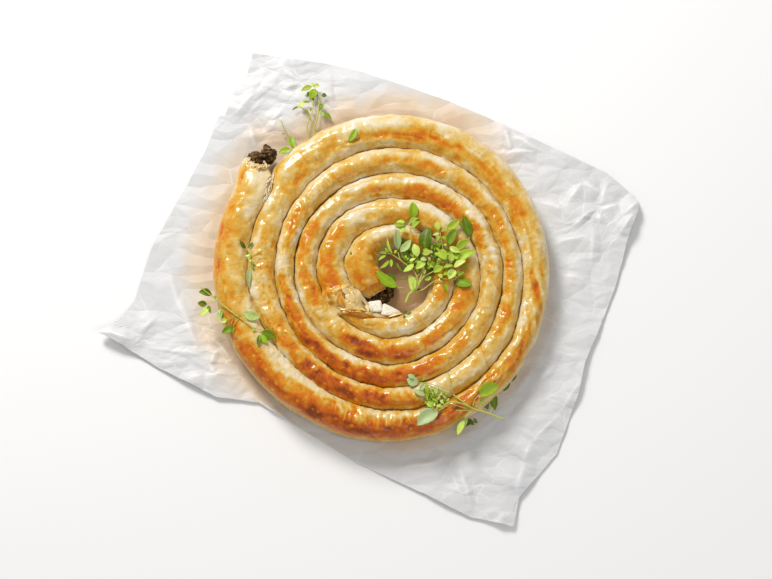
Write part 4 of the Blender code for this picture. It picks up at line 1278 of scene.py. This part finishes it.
# Stems: places they run through, thickness and height above what they lie on.
BUNCH_STEMS = (
    (((11, -29.5), (15.2, -20.5), (19.4, -17.8)), 2.6, 1.5),
    (((18.2, -20), (25.9, -17.2), (36.6, -10.1), (40.2, -9.8), (44.4, -11.6)), 1.2, 1.5),
    (((17.6, -19.6), (21.2, -13.5), (27.1, -4.8), (27.1, 3)), 2.4, 2),
    (((18.8, -17.8), (23.5, -9.1), (25.9, -1.1), (24, 8)), 1.8, 3),
    (((20, -17.8), (27.7, -5.4), (36, -0.5), (40.2, 9.4)), 1.3, 3.5),
    (((18.2, -19), (17.6, -11.6), (20.6, -6.1), (25.9, -1.7)), 1, 3.5),
    (((20, -17.8), (21.2, -6.7), (16.4, 1.3), (11.6, 5), (6.8, 9.4), (4.5, 16.2)), 1.2, 4),
    (((8, 8.1), (3.9, 11.2), (-2.1, 14.9), (-6.3, 16.2)), 1, 3.5),
    (((14, 42.1), (14.9, 36.5), (15.5, 32.8), (16.1, 26)), 0.9, 3),
    (((41.4, 32.8), (42.3, 28.5), (43.8, 20.5), (45, 16.2)), 0.9, 4),
    (((45, 16.2), (41.4, 6.9), (36, -0.5)), 1.1, 3.5), (((55.1, -8.8), (43.8, -8.5)), 0.8, 2.5),
    (((10.4, -15.6), (3.9, -15)), 0.9, 2), (((21.9, 10.9), (22.3, 6.3), (25.3, 0.7)), 0.9, 6),
    (((36, -0.5), (44.4, 0.7), (53.9, 3.2)), 1, 4.5), (((47.4, 35.9), (45.9, 32.8)), 0.7, 3),
    (((67.9, 30.3), (66.4, 27.6), (61.7, 27.3)), 0.7, 1.5),
)
BEHIND_STEMS = (
    (((-74.2, 127.5), (-76, 138.4), (-73.6, 147.3), (-71, 153.7), (-71.3, 163)), 1.2, 3.5),
    (
        ((-70, 129.4), (-69.5, 137.3), (-67.5, 144.2), (-66, 153.2), (-65.5, 158.5), (-67, 166.4)),
        1.3, 3.5,
    ),
    (((-65.5, 158.5), (-63.4, 166.5)), 0.8, 3.5),
    (((-67, 134.7), (-70, 138.4), (-72.1, 144.8)), 1, 4),
    (((-72.9, 145.3), (-79.2, 154.5), (-85.4, 156.9)), 0.7, 4),
    (((-69.3, 168), (-69.5, 176)), 1, 5),
    (((-99.4, 144.2), (-95.4, 134.7), (-94.1, 133), (-89.5, 128.8)), 0.9, 3),
    (((-93, 131.5), (-90, 121.4), (-88.9, 116.7), (-88.9, 114)), 0.8, 4),
)
LOOSE_STEMS = (
    (((-128.8, 20.5), (-124.9, 13.6), (-126.2, 9.5), (-123.7, 3.5)), 1, 1),
    (((-124.4, 13.6), (-118.4, 15.3), (-111.9, 22)), 0.6, 0.5),
)
LEFT_STEMS = (
    (((-136, -44.8), (-141.3, -40.8), (-157.6, -27.3), (-172.6, -15.1)), 1.3, 1),
    (((-136, -44.8), (-122.9, -53.9), (-117, -55.9)), 1, 1),
    (((-165.8, -31), (-157.6, -28.6)), 0.7, 0),
    (((-147.2, -45.5), (-142, -43.8), (-140.6, -41.5)), 0.7, 0.5),
    (((-143.5, -50.5), (-140.9, -41.8)), 0.7, 0.5), (((-142, -52), (-137, -45.5)), 0.7, 0.5),
    (((-141, -40.6), (-132.1, -40.5)), 0.7, 1.2),
)
FRONT_STEMS = (
    (((98.8, -138.2), (84.5, -132.3), (70.4, -127.6), (52.6, -114.7)), 1.7, 1.2),
    (((68.9, -127.2), (59.7, -123.5), (49, -122.8), (42, -128)), 1.4, 1.5),
    (((68.2, -129.5), (56.1, -129.8)), 1, 0.8), (((67.5, -128.7), (51.9, -124.3)), 0.9, 0.8),
    (((52.6, -114.7), (51.1, -105.2), (49, -94.2)), 0.9, 1.5),
    (((52.6, -114.7), (46.2, -113.6), (39.1, -116.9)), 0.8, 2),
    (((50.4, -111.8), (40.5, -108.8), (29.9, -105.2), (22.7, -104.4)), 0.9, 2),
    (((70.7, -125.8), (72.9, -119.9), (76.7, -115.5)), 1, 2),
    (((68.9, -130.2), (63.2, -137.5)), 1, 1.5), (((48.3, -125), (39.8, -130.9)), 1, 1.5),
    (((26.3, -117), (34.8, -122), (43.4, -128.7)), 0.8, 1.5),
    (((73.2, -125), (83.8, -132.3)), 0.8, 1), (((85.2, -133), (89.1, -127)), 0.8, 1),
)

herb_parts, herb_tints, herb_veins = [], [], []
draw = np.random.default_rng(140)


def scattered_leaf(middle, reach, long_range, slim, shades, lifts):
    """The row of a leaf at a random place in an ellipse, turned at random: base, tip, width, which
    is slim times its length, shade and lift."""
    turn, out = draw.uniform(0, 2 * math.pi), math.sqrt(draw.random())
    x, y = np.add(middle, np.multiply(reach, (out * math.cos(turn), out * math.sin(turn))))
    heading, long = draw.uniform(0, 2 * math.pi), draw.uniform(*long_range)
    tip = (x + long * math.cos(heading), y + long * math.sin(heading))
    return (x, y, *tip, slim * long, draw.uniform(*shades), draw.uniform(*lifts))


# The bunch's heart is full of smaller leaves at all angles: darker ones low down, painted dark as
# painted shade under the leaves above, and on them tiny bright ones that have just opened. The front
# sprig's tip is a cluster of tiny bright leaves.
HEART, HEART_REACH = (31, 11), (23, 12)
FRONT_TIP, FRONT_TIP_REACH = (38, -119), (9.5, 7.5)
heart_leaves = []
for index in range(HEART_LEAVES):
    if index % 5 > 1:
        leaf = scattered_leaf(HEART, HEART_REACH, (2.6, 5.2), 0.6, (0.5, 0.95), (2.5, 6.5))
    else:
        leaf = scattered_leaf(HEART, HEART_REACH, (4, 8), 0.6, (0.02, 0.5), (0, 4))
    heart_leaves.append(leaf)
tip_leaves = [
    scattered_leaf(FRONT_TIP, FRONT_TIP_REACH, (2.6, 5.4), 0.32, (0.35, 0.95), (1.0, 3.5))
    for _ in range(TIP_LEAVES)
]
# The leaves, the lowest floor that they lie on, and their places' scale about the coil's centre.
LEAF_GROUPS = (
    (BUNCH_LEAVES, BUNCH_FLOOR, 1.0), (heart_leaves, BUNCH_FLOOR, 1.0), (LOOSE_LEAVES, 0.0, 1.0),
    (BEHIND_LEAVES, 0.0, 1.02), (LEFT_LEAVES, EDGE_FLOOR, 0.98), (FRONT_LEAVES, EDGE_FLOOR, 0.966),
    (HANGING_LEAVES, HANGING_FLOOR, 0.955), (tip_leaves, EDGE_FLOOR, 0.966),
)
STEM_GROUPS = (
    (BUNCH_STEMS, BUNCH_FLOOR, 1.0), (LOOSE_STEMS, 0.0, 1.0), (BEHIND_STEMS, 0.0, 1.02),
    (LEFT_STEMS, EDGE_FLOOR, 0.98), (FRONT_STEMS, EDGE_FLOOR, 0.966),
)
STEM_SHADE = 2.0
for leaves, floor, spread in LEAF_GROUPS:
    for x0, y0, x1, y1, wide, shade, lift in leaves:
        x0, y0, x1, y1 = (spread * value for value in (x0, y0, x1, y1))
        arch, fold_up = draw.uniform(-0.02, 0.12), draw.uniform(0.05, 0.22)
        seed = int(draw.integers(1 << 30))
        points, faces, blade = leaf_blade(
            (x0, y0), (x1, y1), wide, lift, arch, fold_up, floor, seed
        )
        herb_parts.append((points, faces))
        herb_tints.append(np.full(len(points), shade + draw.uniform(-0.06, 0.06)))
        herb_veins.append(blade)
for stems, floor, spread in STEM_GROUPS:
    for path, thick, lift in stems:
        points, faces = stem_tube(spread * np.array(path), thick, lift, floor)
        herb_parts.append((points, faces))
        herb_tints.append(np.full(len(points), STEM_SHADE))
        herb_veins.append(np.zeros(len(points)))
herb_points, herb_faces = joined(herb_parts)

# Fresh leaves: satin and a little translucent, from deep olive-green to yellow-green in patches
# 4 mm across, with paler middles. Their undersides are grey-green and the stems yellow-green.
green, tree, shader = new_material(
    "fresh marjoram and thyme",
    {
        "Roughness": 0.42, "IOR": 1.42, "Specular IOR Level": 0.35,
        "Subsurface Weight": 0.15, "Subsurface Scale": 0.002,
    },
)
shade_of, vein_of = (
    add_node(tree, "Attribute", attribute_name=name).outputs["Fac"] for name in ("shade", "vein")
)
herbs_at = add_node(tree, "TexCoord").outputs["Object"]
patchy = add_node(tree, "TexNoise", {"Vector": herbs_at, "Scale": 260.0, "Detail": 3.0})
# The stops run over shades from 0 to 2, which is a stem.
patched = add_node(tree, "Math", {0: patchy, 1: 0.30, 2: shade_of}, operation="MULTIPLY_ADD")
centred = add_node(tree, "Math", {0: patched, 1: 0.15}, operation="SUBTRACT")
halved = add_node(tree, "Math", {0: centred, 1: 0.5}, operation="MULTIPLY")
leaf_green = add_node(
    tree, "ValToRGB", {"Fac": halved},
    stops=(
        (0.00, "#465C02"), (0.12, "#6C8A04"), (0.25, "#94B414"), (0.38, "#B2CC38"),
        (0.49, "#D6E37E"), (0.56, "#A8BC74"), (0.66, "#B2C48C"), (0.90, "#ACAE30"),
        (1.00, "#B8B83C"),
    ),
)
vein = add_node(
    tree, "MapRange", {"Value": vein_of, "From Max": 0.16, "To Min": 0.22, "To Max": 0.0}
)
veined = add_node(
    tree, "Mix", {"Factor": vein, 6: leaf_green, 7: linear("#C8D68C")}, data_type="RGBA"
)
rough = add_node(tree, "Bump", {"Height": patchy, "Strength": 0.25, "Distance": 0.0006})
set_inputs(shader, {"Base Color": veined.outputs[2], "Normal": rough})
herbs = mesh_object("fresh_herbs", herb_points, herb_faces, green)
store_values(herbs, "shade", np.concatenate(herb_tints))
store_values(herbs, "vein", np.concatenate(herb_veins))
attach(herbs, "root")

# ------------------------------------------------------------------------------
# Loose leaves of filo: paper-thin, dry and curled, pale with fried edges. They lie crumpled in the
# tear, stand up frayed round the open outer end, and hang as shreds in the notch beside it.
# Places are in mm from the coil's centre.
# ------------------------------------------------------------------------------
# In the tear: x and y of the base and of the tip, width, how far above the crust, arch, and how
# brown the middle and the edges are. The lip is a rolled edge of crust along the tear.
TORN_LEAVES = (
    (-48.3, -32.5, -46.6, -20, 6, 0.6, 0.05, 0.62, 0.12),
    (-41.5, -34.5, -45.2, -23.5, 4.6, 0.8, 0.07, 0.66, 0.12),
    (-38.5, -15.5, -25, -24.5, 5, 0.2, 0.02, 0.42, 0.1),
    (-34.5, -17, -22, -29.5, 4.4, 0.5, 0.02, 0.12, 0.36),
    (-37, -19.5, -26.5, -31.5, 4.2, 0.8, 0.03, 0.36, 0.08),
    (-32, -20.5, -20.5, -33.5, 3.2, 0.9, 0.02, 0.14, 0.3),
    (-35.8, -25, -22.5, -34.5, 4.8, 0.8, 0.03, 0.22, 0.46),
    (-33.5, -15.8, -27, -27.5, 3, 0.7, 0.04, 0.2, 0.12),
    (-47, -35.2, -22.5, -37, 6.5, 0.9, 0.04, 0.3, 0.62),
    (-40.5, -19, -33, -30, 7.5, 0.5, 0.06, 0.34, 0.12),
    (-38, -32.5, -24, -31, 5, 1, 0.06, 0.26, 0.5),
    (-24.5, -27.5, -20.9, -37.5, 3.2, 0.8, 0.08, 0.18, 0.3),
    (-22.5, -29.5, -18.3, -37, 2.8, 1, 0.08, 0.2, 0.3),
    (-44, -17, -38, -24, 5, 0.7, 0.06, 0.3, 0.14), (-18, -39, -6, -40.8, 3.4, 0.6, 0.08, 0.2, 0.5),
    (-4, -41, 9, -37.8, 3, 0.6, 0.06, 0.2, 0.55),
)
TEAR_FLOOR = 19.0
LIP_PATH = ((-41.0, -36.8), (-31.0, -38.8), (-22.0, -40.2), (-5.0, -41.4), (7.5, -38.0))
# Round the rim of the outer end, and where the shreds hang.
RIM_FROM, RIM_DIP, RIM_TO = (-129.0, 104.5), (-119.6, 97.6), (-111.6, 98.6)
RIM_LEAVES = 18
SHREDS_FROM, SHREDS_TO = (-112.3, 67.0), (-107.5, 91.0)
SHREDS = 22
RIM_FLOOR, SHREDS_FLOOR, LIP_FLOOR = 18.5, 18.0, 20.5

flake_parts, flake_bakes = [], []


def add_leaf(base, tip, wide, lift, arch, fold_up, floor, seed, inside, edge):
    """Add one loose leaf, and how brown it is along its middle and at its edges."""
    points, faces, blade = leaf_blade(base, tip, wide, lift, arch, fold_up, floor, seed)
    flake_parts.append((points, faces))
    flake_bakes.append(inside + (edge - inside) * blade**4)


draw = np.random.default_rng(150)
for index, (x0, y0, x1, y1, wide, lift, arch, inside, edge) in enumerate(TORN_LEAVES):
    fold_up = draw.uniform(0.02, 0.16)
    add_leaf((x0, y0), (x1, y1), wide, lift, arch, fold_up, TEAR_FLOOR, index, inside, edge)
rim_line = curve_through([0, 0.5, 1], [RIM_FROM, RIM_DIP, RIM_TO], np.linspace(0, 1, RIM_LEAVES))
for index, place in enumerate(rim_line):
    heading = math.atan2(onward[1], onward[0]) + draw.uniform(-1.0, 1.0)
    reach = draw.uniform(1.2, 4.2) * np.array([math.cos(heading), math.sin(heading)])
    place = place + draw.uniform(-1.5, 0.6) * onward[:2]
    wide, lift = draw.uniform(1.4, 4.4), draw.uniform(0.0, 1.4)
    ends = (place - 1.2 * reach, place + reach)
    add_leaf(*ends, wide, lift, 0.08, 0.35, RIM_FLOOR, 30 + index, 0.22, 0.36)
shreds_run = np.subtract(SHREDS_TO, SHREDS_FROM)
for index in range(SHREDS):
    middle_of = SHREDS_FROM + draw.random() * shreds_run + draw.uniform(-2.2, 2.2, 2)
    heading = math.atan2(shreds_run[1], shreds_run[0]) + draw.uniform(-0.55, 0.55)
    reach = draw.uniform(2.5, 6.0) * np.array([math.cos(heading), math.sin(heading)])
    add_leaf(
        middle_of - reach, middle_of + reach, draw.uniform(0.6, 1.5), draw.uniform(0.2, 1.2),
        draw.uniform(0.0, 0.10), 0.3, SHREDS_FLOOR, 50 + index, 0.12, 0.20,
    )
lip_points, lip_faces = stem_tube(LIP_PATH, 1.5, -0.5, LIP_FLOOR)
flake_parts.append((lip_points, lip_faces))
flake_bakes.append(np.full(len(lip_points), 0.62))
flake_points, flake_faces = joined(flake_parts)
flakes = mesh_object("filo_flakes", flake_points, flake_faces, crust)
store_values(flakes, "bake_and_painted_light", np.concatenate(flake_bakes))
store_values(flakes, "flaky", np.full(len(flake_points), 0.7))
store_values(flakes, "roll", flake_points)
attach(flakes, "root")
